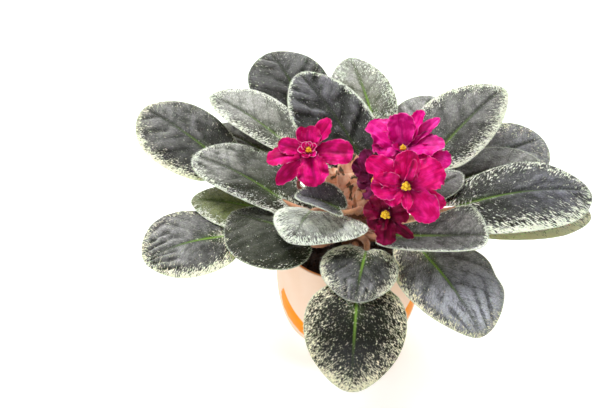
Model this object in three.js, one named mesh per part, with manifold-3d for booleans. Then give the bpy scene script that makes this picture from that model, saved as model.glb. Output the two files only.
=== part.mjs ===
// A potted african violet: a peach-cream pot filled with soil, and a flat rosette of velvety leaves
// with five ruffled blooms over it. Sizes in millimetres. The origin is the middle of the pot's
// underside, +Z points up and the side that is usually looked at faces -Y.

import * as THREE from 'three';
import Module from 'manifold-3d';

const wasm = await Module();
wasm.setup();
const { Manifold } = wasm;

// Driving sizes.
const POT_HEIGHT = 75;
const RIM_RADIUS = 50;
const BELLY_RADIUS = 53;
const WALL = 2.6;
const SOIL_TOP = 65;
const CROWN_X = 4;
const CROWN_RADIUS = 10.5;
const CROWN_TOP = 97;
const GAP = 0.3;
const LEAF_THICKNESS = 1.3;
const PETAL_THICKNESS = 0.8;
const STALK_SIDES = 5;
const SLIM_FROM = 0.3;
const SLIM_TO = 0.7;
const NOTCH_AT = 0.62;
const NOTCH_REACH = 0.07;

// Half of a leaf's outline: how far along the midrib, and how far out as a share of half the width.
const LEAF_OUTLINE = [
  [0, 0], [-0.07, 0.2], [-0.07, 0.5], [0.05, 0.8], [0.26, 0.98],
  [0.5, 1], [0.71, 0.86], [0.87, 0.58], [0.97, 0.27], [1, 0],
];
const PETAL_OUTLINE = [
  [0, 0], [0, 0.3], [0.1, 0.56], [0.3, 0.84], [0.56, 1], [0.78, 0.92], [0.94, 0.56], [1, 0],
];

// Leaves of the rosette. base: where the blade joins its stalk. tip: the blade's far end.
// width: over both halves. turn: roll about the midrib in degrees. arch: rise of the midrib's middle.
// cup: rise of both margins (negative droops). left, right: share of half the width on that side.
// full: how much the blade fills out towards the tip (negative tapers). slim: how much narrower the left
// half is beside the stalk. notch: depth of a notch in the left margin. lobe: how far the two lobes reach
// back beside the stalk. from: height at which the stalk leaves the crown. by: a point that the stalk
// bends past. wave, waves, phase: the margin's wave, in the young leaves.
const LEAVES = [
  {
    name: 'leaf_left_upper', base: [-95, 57, 101], tip: [-156, 106, 115],
    width: 60, turn: -12, arch: 5, cup: -3, left: 1.1, right: 0.9, full: 0.1, from: 73, by: [-45, 52, 80],
  },
  {
    name: 'leaf_left_back', base: [-48, 68, 111], tip: [-104, 106, 127],
    width: 52, arch: 4, cup: -3, left: 0.66, right: 1.34, full: 0.15, from: 88, lobe: 2,
  },
  {
    name: 'leaf_back_left', base: [-31, 112.5, 104], tip: [-60, 165.5, 128],
    width: 65, arch: 6, cup: -4, full: 0.2, from: 76,
  },
  {
    name: 'leaf_back_middle', base: [11, 39, 113], tip: [-36, 101, 150],
    width: 62, arch: 5, cup: -2, left: 1.06, right: 0.94, from: 88, lobe: 2.5,
  },
  {
    name: 'leaf_back_behind', base: [21, 89, 112], tip: [3, 151, 132],
    width: 50, arch: 5, cup: -2, left: 1.08, right: 0.92, full: -0.25, from: 80,
  },
  {
    name: 'leaf_back_small', base: [50, 83, 102], tip: [67, 124, 114],
    width: 46, arch: 3, cup: -2, from: 73,
  },
  {
    name: 'leaf_back_right', base: [64, 51, 110], tip: [119, 105, 134],
    width: 61, turn: 8, arch: 5, cup: -4, left: 1.2, right: 0.8, full: -0.3, from: 86,
  },
  {
    name: 'leaf_right_behind', base: [94, 61.7, 89], tip: [150, 89.7, 98],
    width: 62, turn: 8, arch: 4, cup: -3, full: 0.45, from: 72,
  },
  {
    name: 'leaf_right_dark', base: [75, 40, 92], tip: [144, 59, 98],
    width: 54, turn: 8, arch: 4, cup: -4, from: 79,
  },
  {
    name: 'leaf_right_large', base: [75, -3, 104], tip: [175, 20, 101],
    width: 78, turn: 2, arch: 7, cup: -3, full: 0.25, slim: 0.3, from: 82,
  },
  {
    name: 'leaf_right_lower', base: [87, 14.5, 84], tip: [178, 18.5, 80],
    width: 69, turn: -2, arch: 6, cup: -3, from: 72,
  },
  {
    name: 'leaf_right_small', base: [54, 6, 108], tip: [82, 26, 112],
    width: 24, turn: 8, arch: 2, cup: -2, from: 88, stalk: 1.5,
  },
  {
    name: 'leaf_front_cupped', base: [25, -38, 107], tip: [95, -36, 106],
    width: 48, turn: 14, arch: -1, cup: 12, left: 0.92, right: 0.84, full: 0.7, slim: 0.6, lobe: 1.5,
    from: 86,
  },
  {
    name: 'leaf_front_broad', base: [50, -33, 88], tip: [89, -93, 62],
    width: 84, arch: 6, cup: -8, left: 1.14, right: 0.74, full: -0.45, slim: 0.3, notch: 0.12,
    lobe: 2.2, from: 75,
  },
  {
    name: 'leaf_front_heart', base: [10, -45, 98], tip: [2, -76, 78],
    width: 54, arch: 3, cup: -3, left: 0.92, right: 1.08, full: -0.2, from: 81,
  },
  {
    name: 'leaf_front_hanging', base: [4, -66, 80], tip: [-1, -120, 36],
    width: 70, arch: 6, cup: -4, full: -0.3, from: 73,
  },
  {
    name: 'leaf_middle_pale', base: [-28, -10, 106], tip: [-41, -41, 101],
    width: 69, turn: 6, arch: 4, cup: -1, left: 1.36, right: 0.64, full: -0.4, from: 88,
  },
  {
    name: 'leaf_front_left', base: [-28, -26, 91], tip: [-86, 8, 89],
    width: 53, turn: -4, arch: 5, cup: -4, left: 1.4, right: 0.6, full: 0.1, from: 80,
  },
  {
    name: 'leaf_left_low', base: [-90, -8, 81], tip: [-147, -30, 77],
    width: 70, turn: -4, arch: 5, cup: -4, left: 0.92, right: 1.08, full: 0.1, from: 73,
  },
  {
    name: 'leaf_left_olive', base: [-57, 14.5, 86], tip: [-116, 30.5, 85],
    width: 48, turn: -4, arch: 3, cup: -3, full: -0.25, from: 77,
  },
  {
    name: 'leaf_left_middle', base: [-49, 10, 101], tip: [-114, 53, 109],
    width: 54, turn: -5, arch: 5, cup: -4, left: 0.74, right: 1.26, full: 0.4, from: 84, lobe: 2,
  },
  {
    name: 'leaf_left_tip', base: [-61, 71, 98], tip: [-103, 100, 101],
    width: 40, turn: -6, arch: 2, cup: -2, from: 80,
  },
  {
    name: 'leaf_middle_small', base: [-7, -23, 117], tip: [-39, -12, 122],
    width: 28, arch: 3, cup: 5, from: 93, by: [13, -15, 120], stalk: 1.6,
  },
];

const YOUNG_LEAVES = [
  {
    name: 'young_leaf_1', base: [4, 4, 107], tip: [-1, 25, 131],
    width: 25, arch: 3, cup: 5, wave: 2, waves: 2,
  },
  {
    name: 'young_leaf_2', base: [-7, 3, 105], tip: [-13, 15, 125],
    width: 15, arch: 2, cup: 3, wave: 1.2, waves: 1.5,
  },
  {
    name: 'young_leaf_3', base: [11, -4, 104], tip: [14, 7, 120],
    width: 15, arch: 2, cup: 3, wave: 1.5, waves: 2,
  },
  { name: 'young_leaf_4', base: [1, -4, 102], tip: [-4, -3, 109], width: 7, arch: 1, cup: 2 },
];

// Blooms. at: the middle of the throat. faces: the way the bloom looks. via: points that its stalk
// passes. petals: the angle round the bloom (0 to the right, 90 up, as seen from in front of it),
// length, width, how steeply the petal stands up from the bloom's plane, how much it bends back, its
// roll, and how much it fills out towards the tip.
const BLOOMS = [
  {
    name: 'left',
    at: [-29, 6, 146],
    faces: [-0.15, -0.5, 0.75],
    via: [[-12, 12, 98], [-30, 11, 106], [-37, 8, 117]],
    petals: [[192, 29, 17, 4, 14, 10, 0], [222, 31, 13, -8, 6, -15, -0.5], [281, 26, 23, 4, 16, 0, 0.1],
      [350, 31, 19, 10, 12, 12, 0.4], [45, 26, 15, 30, 0, -20, 0.4], [110, 17, 11, 38, 0, 15, -0.5],
      [74, 17, 15, 38, 4, 0, 0], [168, 21, 13, 18, 6, -12, 0]],
    inner: [[260, 10, 8, 55, 0, 0, 0]],
  },
  {
    name: 'top',
    at: [37, 6, 147],
    faces: [-0.2, -0.3, 0.9],
    via: [[22, 11, 107], [34, 12, 126]],
    petals: [[136, 30, 27, 18, 6, 10, 0], [88, 25, 21, 48, -4, 0, -0.1], [54, 29, 13, 27, 0, -15, 0.3],
      [36, 32, 10, 10, 6, 10, -0.4], [354, 28, 22, 8, 12, -8, 0], [334, 34, 18, -2, 10, 0, 0.2],
      [168, 21, 21, 10, 10, 0, 0]],
    inner: [[200, 10, 8, 60, 0, 0, 0]],
  },
  {
    name: 'front',
    at: [36, -32, 144],
    faces: [0.05, -0.75, 0.65],
    via: [[22, -10, 101], [32, -22, 120]],
    petals: [[146, 31, 20, 8, 6, 10, -0.3], [88, 24, 19, 22, 2, 0, -0.2], [27, 27, 25, 8, 12, -8, 0.1],
      [310, 29, 22, 2, 14, 0, -0.3], [178, 23, 20, 14, 10, -10, -0.3], [212, 17, 17, 14, 6, 0, 0],
      [335, 29, 14, -8, 8, 10, 0]],
    inner: [[272, 15, 8, 20, 6, 0, 0], [76, 22, 8, 44, 0, 25, -0.4]],
  },
  {
    name: 'wine',
    at: [23, -40, 127],
    faces: [-0.1, -0.85, 0.5],
    via: [[9, -20, 99], [15, -31, 108]],
    petals: [[112, 15, 16, 8, 8, 0, -0.2], [165, 14, 15, 8, 8, 10, 0], [268, 20, 17, 10, 10, -15, 0],
      [218, 13, 13, 2, 6, 0, -0.3], [318, 24, 9, -8, 6, 20, -0.4], [10, 13, 14, 8, 8, 0, 0]],
    inner: [[262, 11, 8, 35, 4, 20, 0]],
  },
  {
    name: 'back',
    rows: 4,
    at: [21, -2, 125.5],
    faces: [-0.75, -0.3, 0.45],
    via: [[24, 0, 103], [33, -1, 113]],
    petals: [[150, 24, 17, 38, 4, 10, 0], [190, 23, 17, 38, 4, 0, -0.3], [228, 16, 14, 34, 4, -10, 0],
      [100, 19, 15, 38, 0, 0, 0], [300, 15, 13, 30, 0, 0, 0]],
    inner: [[180, 8, 7, 60, 0, 0, 0]],
  },
];

const LEAF_GREEN = { color: '#48564c', roughness: 0.75, metalness: 0 };
const YOUNG_PEACH = { color: '#d9a184', roughness: 0.7, metalness: 0 };
const PETAL_MAGENTA = { color: '#c4105f', roughness: 0.6, metalness: 0 };
const PETAL_WINE = { color: '#7a0a3c', roughness: 0.6, metalness: 0 };
const ANTHER_YELLOW = { color: '#f2c518', roughness: 0.6, metalness: 0 };
const STALK_BROWN = { color: '#8a4a42', roughness: 0.65, metalness: 0 };
const CROWN_BROWN = { color: '#7c5a44', roughness: 0.8, metalness: 0 };
const POT_PEACH = { color: '#f6dfca', roughness: 0.35, metalness: 0 };
const SOIL_BLACK = { color: '#241b15', roughness: 0.95, metalness: 0 };

const vec = (p) => new THREE.Vector3(p[0], p[1], p[2]);
const rad = THREE.MathUtils.degToRad;
const clamp = THREE.MathUtils.clamp;

// A smooth line through half-outline points; mirrored past both ends, so that the ends are round.
function smoothOutline(points, steps) {
  const first = [points[1][0], -points[1][1]];
  const last = [points[points.length - 2][0], -points[points.length - 2][1]];
  const all = [first, ...points, last];
  const spans = points.length - 1;
  const line = [];
  for (let i = 0; i <= steps; i++) {
    const s = (i / steps) * spans;
    const k = Math.min(Math.floor(s), spans - 1);
    const f = s - k;
    const [a, b, c, d] = [all[k], all[k + 1], all[k + 2], all[k + 3]];
    line.push([0, 1].map((n) => 0.5 * (2 * b[n] + (c[n] - a[n]) * f
      + (2 * a[n] - 5 * b[n] + 4 * c[n] - d[n]) * f * f
      + (3 * b[n] - a[n] - 3 * c[n] + d[n]) * f * f * f)));
  }
  return line;
}

// The upper face of a blade: rows run from the base to the tip, and within a row the points run from
// the right margin over the midrib to the left margin along the side veins.
function bladeFace(blade, outline, rows, across) {
  const base = vec(blade.base);
  const ahead = vec(blade.tip).sub(base);
  const length = ahead.length();
  ahead.normalize();
  const side = new THREE.Vector3(0, 0, 1).cross(ahead).normalize();
  if (blade.up) {
    side.copy(vec(blade.up)).cross(ahead).normalize();
  }
  side.applyAxisAngle(ahead, rad(blade.turn || 0));
  const up = ahead.clone().cross(side);
  const { arch = 0, cup = 0, left = 1, right = 1, full = 0, slim = 0, notch = 0, lobe = 1 } = blade;
  const { wave = 0, waves = 3, phase = 0 } = blade;
  const margin = smoothOutline(outline, rows);
  const face = [];
  for (let i = 0; i <= rows; i++) {
    const t = i / rows;
    const rib = t ** 1.15;
    const [out, half] = margin[i];
    const reach = out < 0 ? out * lobe : out + full * out * (1 - out);
    const leftShare = left * (1 - slim * (1 - THREE.MathUtils.smoothstep(t, SLIM_FROM, SLIM_TO))
      - notch * Math.exp(-(((t - NOTCH_AT) / NOTCH_REACH) ** 2)));
    const row = [];
    for (let j = -across; j <= across; j++) {
      const v = Math.abs(j) / across;
      const x = rib + (reach - rib) * v;
      const y = Math.sign(j) * half * v * (j > 0 ? leftShare : right);
      const rise = arch * 4 * x * (1 - x) + cup * y * y
        + wave * Math.sin(2 * Math.PI * waves * t + phase + (j < 0 ? 1.7 : 0))
        * v ** 3 * Math.sin(Math.PI * t);
      row.push(base.clone()
        .addScaledVector(ahead, x * length)
        .addScaledVector(side, y * blade.width / 2)
        .addScaledVector(up, rise));
    }
    face.push(row);
  }
  return face;
}

// The outward normal at each point of a face.
function faceNormals(face) {
  const rows = face.length - 1;
  const last = face[0].length - 1;
  return face.map((row, i) => row.map((point, j) => {
    const i0 = clamp(i, 1, rows - 1);
    const along = face[i0 + 1][j].clone().sub(face[i0 - 1][j]);
    const over = face[i0][Math.min(j + 1, last)].clone().sub(face[i0][Math.max(j - 1, 0)]);
    return along.cross(over).normalize();
  }));
}

function toManifold(points, triangles) {
  const vertProperties = new Float32Array(points.flatMap((p) => [p.x, p.y, p.z]));
  const triVerts = new Uint32Array(triangles.flat());
  return new Manifold(new wasm.Mesh({ numProp: 3, vertProperties, triVerts }));
}

// A closed sheet of even thickness under a face; both faces are split into triangles alike.
function sheet(face, thickness) {
  const normals = faceNormals(face);
  const rows = face.length - 1;
  const last = face[0].length - 1;
  const middle = last / 2;
  const points = [];
  const place = (offset) => face.map((row, i) => {
    if (i === 0 || i === rows) {
      points.push(row[middle].clone().addScaledVector(normals[i][middle], offset));
      return row.map(() => points.length - 1);
    }
    return row.map((point, j) => {
      points.push(point.clone().addScaledVector(normals[i][j], offset));
      return points.length - 1;
    });
  });
  const top = place(0);
  const under = place(-thickness);
  const triangles = [];
  const add = (a, b, c) => {
    if (a !== b && b !== c && a !== c) {
      triangles.push([a, b, c]);
    }
  };
  for (let i = 0; i < rows; i++) {
    for (let j = 0; j < last; j++) {
      add(top[i][j], top[i + 1][j], top[i + 1][j + 1]);
      add(top[i][j], top[i + 1][j + 1], top[i][j + 1]);
      add(under[i][j], under[i + 1][j + 1], under[i + 1][j]);
      add(under[i][j], under[i][j + 1], under[i + 1][j + 1]);
    }
    add(top[i][0], under[i][0], under[i + 1][0]);
    add(top[i][0], under[i + 1][0], top[i + 1][0]);
    add(top[i][last], under[i + 1][last], under[i][last]);
    add(top[i][last], top[i + 1][last], under[i + 1][last]);
  }
  return toManifold(points, triangles);
}

// A round stalk through the given points, with a radius at each.
function stalk(points, radii, sides = STALK_SIDES) {
  const rings = [];
  const all = [];
  const tangent = (i) => points[Math.min(i + 1, points.length - 1)].clone()
    .sub(points[Math.max(i - 1, 0)]).normalize();
  let sideways = new THREE.Vector3(0.3, 0.2, 0.93).cross(tangent(0)).normalize();
  points.forEach((point, i) => {
    const t = tangent(i);
    sideways = sideways.sub(t.clone().multiplyScalar(sideways.dot(t))).normalize();
    const other = t.clone().cross(sideways);
    rings.push([]);
    for (let k = 0; k < sides; k++) {
      const a = (2 * Math.PI * k) / sides;
      all.push(point.clone()
        .addScaledVector(sideways, Math.cos(a) * radii[i])
        .addScaledVector(other, Math.sin(a) * radii[i]));
      rings[i].push(all.length - 1);
    }
  });
  const triangles = [];
  for (let i = 0; i < rings.length - 1; i++) {
    for (let k = 0; k < sides; k++) {
      const n = (k + 1) % sides;
      triangles.push([rings[i][k], rings[i][n], rings[i + 1][n]]);
      triangles.push([rings[i][k], rings[i + 1][n], rings[i + 1][k]]);
    }
  }
  all.push(points[0].clone(), points[points.length - 1].clone());
  const end = rings[rings.length - 1];
  for (let k = 0; k < sides; k++) {
    const n = (k + 1) % sides;
    triangles.push([all.length - 2, rings[0][n], rings[0][k]]);
    triangles.push([all.length - 1, end[k], end[n]]);
  }
  return toManifold(all, triangles);
}

// A solid of revolution about an upright axis through (x, 0), from a closed profile of [radius, z].
function turned(profile, segments, x = 0) {
  const points = [];
  const rings = profile.map(([r, z]) => {
    if (r === 0) {
      points.push(new THREE.Vector3(x, 0, z));
      return new Array(segments).fill(points.length - 1);
    }
    return Array.from({ length: segments }, (_, k) => {
      const a = (2 * Math.PI * k) / segments;
      points.push(new THREE.Vector3(x + r * Math.cos(a), r * Math.sin(a), z));
      return points.length - 1;
    });
  });
  const triangles = [];
  for (let i = 0; i < rings.length - 1; i++) {
    for (let k = 0; k < segments; k++) {
      const n = (k + 1) % segments;
      const [a, b, c, d] = [rings[i][k], rings[i][n], rings[i + 1][n], rings[i + 1][k]];
      if (a !== b) {
        triangles.push([a, b, c]);
      }
      if (c !== d) {
        triangles.push([a, c, d]);
      }
    }
  }
  return toManifold(points, triangles);
}

function node(name, solid, finish) {
  const mesh = solid.getMesh();
  const geometry = new THREE.BufferGeometry();
  geometry.setAttribute('position', new THREE.BufferAttribute(new Float32Array(mesh.vertProperties), 3));
  geometry.setIndex(new THREE.BufferAttribute(new Uint32Array(mesh.triVerts), 1));
  geometry.computeVertexNormals();
  const made = new THREE.Mesh(geometry, new THREE.MeshStandardMaterial(finish));
  made.name = name;
  return made;
}

function bezier(a, b, c, d, steps) {
  return new THREE.CubicBezierCurve3(a, b, c, d).getPoints(steps);
}

// Crown profile, from the foot in the soil to the top; grow makes the space that the stalks keep clear of.
function crownProfile(grow) {
  return [
    [0, SOIL_TOP - 14 - grow],
    [CROWN_RADIUS - 2 + grow, SOIL_TOP - 14 - grow],
    [CROWN_RADIUS - 1 + grow, SOIL_TOP - 4],
    [CROWN_RADIUS + grow, SOIL_TOP + 10],
    [CROWN_RADIUS - 1 + grow, SOIL_TOP + 20],
    [CROWN_RADIUS - 4 + grow, CROWN_TOP - 3],
    [CROWN_RADIUS - 6 + grow, CROWN_TOP + grow],
    [0, CROWN_TOP + grow],
  ];
}

const crown = turned(crownProfile(0), 10, CROWN_X);
const crownSpace = turned(crownProfile(GAP), 10, CROWN_X);

function leaf(spec, rows, across, thickness) {
  const face = bladeFace(spec, LEAF_OUTLINE, rows, across);
  const normals = faceNormals(face);
  const thick = spec.stalk || 2.2;
  const base = vec(spec.base);
  const ahead = vec(spec.tip).sub(base).normalize();
  const start = new THREE.Vector3(CROWN_X, 0, spec.from || CROWN_TOP - 3);
  const below = (i, r) => face[i][across].clone().addScaledVector(normals[i][across], -(r + 0.45));
  const join = base.clone().addScaledVector(normals[1][across], -(thick + 0.45));
  const run = join.distanceTo(start);
  const outward = new THREE.Vector3(join.x - start.x, join.y - start.y, 0).normalize();
  const out = start.clone().addScaledVector(outward, run * 0.45);
  out.z += run * 0.1;
  const before = join.clone().addScaledVector(ahead, -run * 0.3);
  const points = bezier(start, spec.by ? vec(spec.by) : out, before, join, 4);
  const radii = points.map((_, i) => thick * (1.1 - 0.1 * (i / 4)));
  const ribEnd = Math.round(rows * 0.7);
  for (let i = 3; i <= ribEnd; i += 3) {
    const r = thick * (1 - 0.65 * (i / ribEnd));
    points.push(below(i, r));
    radii.push(r);
  }
  return sheet(face, thickness).add(stalk(points, radii)).subtract(crownSpace);
}

// The main body of a solid, without the empty slivers that fusing thin sheets can leave.
function largest(solid) {
  return solid.decompose().sort((a, b) => b.volume() - a.volume())[0];
}

// The bloom's own frame: right and up as seen from in front of it.
function bloomFrame(spec) {
  const out = vec(spec.faces).normalize();
  const right = new THREE.Vector3(1, 0, 0).addScaledVector(out, -out.x);
  if (right.length() < 0.7) {
    right.set(0, 1, 0).addScaledVector(out, -out.y).negate();
  }
  right.normalize();
  const up = out.clone().cross(right);
  const at = vec(spec.at);
  return {
    point: (x, y, z) => at.clone().addScaledVector(right, x).addScaledVector(up, y).addScaledVector(out, z),
    matrix: new THREE.Matrix4().makeBasis(right, up, out).setPosition(at),
    out,
  };
}

function petal(frame, [angle, length, width, lift, bend, turn, full], rows, k) {
  const a = rad(angle);
  const e = rad(lift);
  const from = 2;
  const to = from + length * Math.cos(e);
  const base = frame.point(from * Math.cos(a), from * Math.sin(a), 0.6);
  const tip = frame.point(to * Math.cos(a), to * Math.sin(a), 0.6 + length * Math.sin(e));
  const up = frame.out.toArray();
  const blade = {
    base: base.toArray(), tip: tip.toArray(), width, up, turn, full, arch: bend * 0.2, cup: 1.5,
    wave: Math.min(2.2, width * 0.09), waves: 2, phase: k * 1.9,
  };
  return sheet(bladeFace(blade, PETAL_OUTLINE, rows, 2), PETAL_THICKNESS);
}

const inFrame = (solid, frame) => solid.transform(frame.matrix.toArray());

function bloomPetals(spec) {
  const frame = bloomFrame(spec);
  const throat = turned([[0, -0.6], [3.6, -0.6], [4.1, 0.4], [3.6, 1.6], [0, 1.6]], 6);
  const well = turned([[0, 0.4], [1.8, 0.4], [1.8, 9], [0, 9]], 6);
  const parts = [...spec.petals.map((p, k) => petal(frame, p, spec.rows || 5, k)),
    ...spec.inner.map((p, k) => petal(frame, p, 3, k + 3))];
  let solid = inFrame(throat, frame);
  parts.forEach((part) => {
    solid = solid.add(part);
  });
  return largest(solid.subtract(inFrame(well, frame)));
}

function bloomAnthers(spec) {
  const frame = bloomFrame(spec);
  let solid = turned([[0, 0.7], [1.2, 0.7], [1.2, 3.6], [0, 3.6]], 6);
  const lobe = turned([[0, -1.5], [1.2, -0.7], [1.2, 0.7], [0, 1.5]], 5);
  const places = [[1, 0.4, 4], [-1, 0.5, 4.4], [0.1, -1, 4.6], [0, 1, 5.2]];
  places.forEach((place) => {
    solid = solid.add(lobe.translate(place));
  });
  return inFrame(solid, frame);
}

function bloomStalk(spec) {
  const frame = bloomFrame(spec);
  const start = new THREE.Vector3(CROWN_X, 0, CROWN_TOP - 6);
  const waypoints = [start, ...spec.via.map(vec), frame.point(0, 0, -11), frame.point(0, 0, -3)];
  const points = new THREE.CatmullRomCurve3(waypoints).getPoints(5);
  let solid = stalk(points, points.map(() => 1.4));
  const cup = turned([[0, -4.6], [1.6, -4.6], [3, -2.2], [3.3, -0.9], [0, -0.9]], 6);
  solid = solid.add(inFrame(cup, frame));
  for (let k = 0; k < 5; k++) {
    const a = rad(k * 72 + 20);
    const base = frame.point(1.5 * Math.cos(a), 1.5 * Math.sin(a), -2);
    const tip = frame.point(9 * Math.cos(a), 9 * Math.sin(a), -4.5);
    const up = frame.out.toArray();
    const blade = { base: base.toArray(), tip: tip.toArray(), width: 3.6, up, arch: 0.6 };
    solid = solid.add(sheet(bladeFace(blade, PETAL_OUTLINE, 2, 1), 0.8));
  }
  return solid.subtract(crownSpace);
}

// The pot: foot corner rounded, belly a little wider than the rim, rounded lip.
const pot = turned([
  [0, 0], [42, 0], [46, 2.5], [49.5, 12], [52, 24], [BELLY_RADIUS, 38], [52.4, 54],
  [RIM_RADIUS, 73], [RIM_RADIUS - WALL / 2, POT_HEIGHT], [RIM_RADIUS - WALL, 73],
  [52.4 - WALL, 54], [BELLY_RADIUS - WALL, 38], [52 - WALL, 24], [49.5 - WALL, 12], [44, 4], [0, 3],
], 32);

// Soil: fills the pot to below the rim; its top is lumpy, with a plain hole for the crown.
function soil() {
  const body = turned([
    [0, 3 + GAP], [43.6, 4 + GAP], [49 - WALL, 12.2], [51.5 - WALL, 24], [52.5 - WALL, 38],
    [51.9 - WALL, 54], [50.6 - WALL, 63], [46, SOIL_TOP + 0.5], [36, SOIL_TOP], [25, SOIL_TOP + 1],
    [0, SOIL_TOP + 0.5],
  ], 20);
  const lumpy = body.warp((p) => {
    const r = Math.hypot(p[0], p[1]);
    if (p[2] > SOIL_TOP - 1.5 && r < 46) {
      p[2] += 1.1 * Math.sin(p[0] * 0.9 + 1.3) * Math.cos(p[1] * 0.8);
    }
  });
  return lumpy.subtract(turned(crownProfile(GAP), 10, CROWN_X));
}

const plant = new THREE.Group();
plant.name = 'potted_african_violet';
plant.add(node('pot', pot, POT_PEACH));
plant.add(node('soil', soil(), SOIL_BLACK));
plant.add(node('crown', crown, CROWN_BROWN));
LEAVES.forEach((spec) => plant.add(node(spec.name, leaf(spec, 8, 2, LEAF_THICKNESS), LEAF_GREEN)));
YOUNG_LEAVES.forEach((spec) => plant.add(
  node(spec.name, leaf({ stalk: 1.2, from: CROWN_TOP - 2, ...spec }, 5, 1, 0.9), YOUNG_PEACH),
));
BLOOMS.forEach((spec) => {
  const finish = spec.name === 'wine' || spec.name === 'back' ? PETAL_WINE : PETAL_MAGENTA;
  plant.add(node(`petals_${spec.name}`, bloomPetals(spec), finish));
  plant.add(node(`anthers_${spec.name}`, bloomAnthers(spec), ANTHER_YELLOW));
  plant.add(node(`flower_stalk_${spec.name}`, bloomStalk(spec), STALK_BROWN));
});

export default plant;
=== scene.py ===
import math

import bpy
import numpy as np
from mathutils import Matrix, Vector


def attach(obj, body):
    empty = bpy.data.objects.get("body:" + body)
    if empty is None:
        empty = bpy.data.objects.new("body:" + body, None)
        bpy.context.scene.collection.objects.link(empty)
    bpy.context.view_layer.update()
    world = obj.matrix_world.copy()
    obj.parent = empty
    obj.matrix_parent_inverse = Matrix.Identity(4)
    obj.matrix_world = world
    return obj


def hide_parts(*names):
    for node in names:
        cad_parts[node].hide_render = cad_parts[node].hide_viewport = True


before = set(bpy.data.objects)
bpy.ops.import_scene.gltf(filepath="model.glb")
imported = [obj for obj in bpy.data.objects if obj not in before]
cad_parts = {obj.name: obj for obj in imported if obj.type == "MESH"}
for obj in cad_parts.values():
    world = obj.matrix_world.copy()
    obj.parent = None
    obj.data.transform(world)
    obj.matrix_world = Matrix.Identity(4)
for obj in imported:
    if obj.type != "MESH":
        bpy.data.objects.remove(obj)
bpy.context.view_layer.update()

# One millimetre in metres, which Blender works in.
MM = 0.001
# The crown stands a little to the right of the pot's middle.
CROWN_X = 4
CROWN_TOP = 97
CROWN_RADIUS = 10.5
SOIL_TOP = 65
RIM_RADIUS = 50
BELLY_RADIUS = 53
FOOT_RADIUS = 49.5
WALL = 2.6
# Side veins on each half of a leaf.
SIDE_VEINS = 5
# The thickness of a leaf's stalk, as a radius, where its entry gives none.
STALK_RADIUS = 2.2
# The size of a bloom's cluster of pollen sacs, as a share of the drawn one, where its entry gives none.
ANTHER_SIZE = 1.15
DETAIL = 1

# Half of an outline: how far along the midrib, and how far out as a share of half the width.
LEAF_OUTLINE = [(0, 0), (-0.07, 0.2), (-0.07, 0.5), (0.05, 0.8), (0.26, 0.98),
                (0.5, 1), (0.71, 0.86), (0.87, 0.58), (0.97, 0.27), (1, 0)]
PETAL_OUTLINE = [(0, 0), (0, 0.3), (0.1, 0.56), (0.3, 0.84), (0.56, 1), (0.78, 0.92), (0.94, 0.56), (1, 0)]

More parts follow.
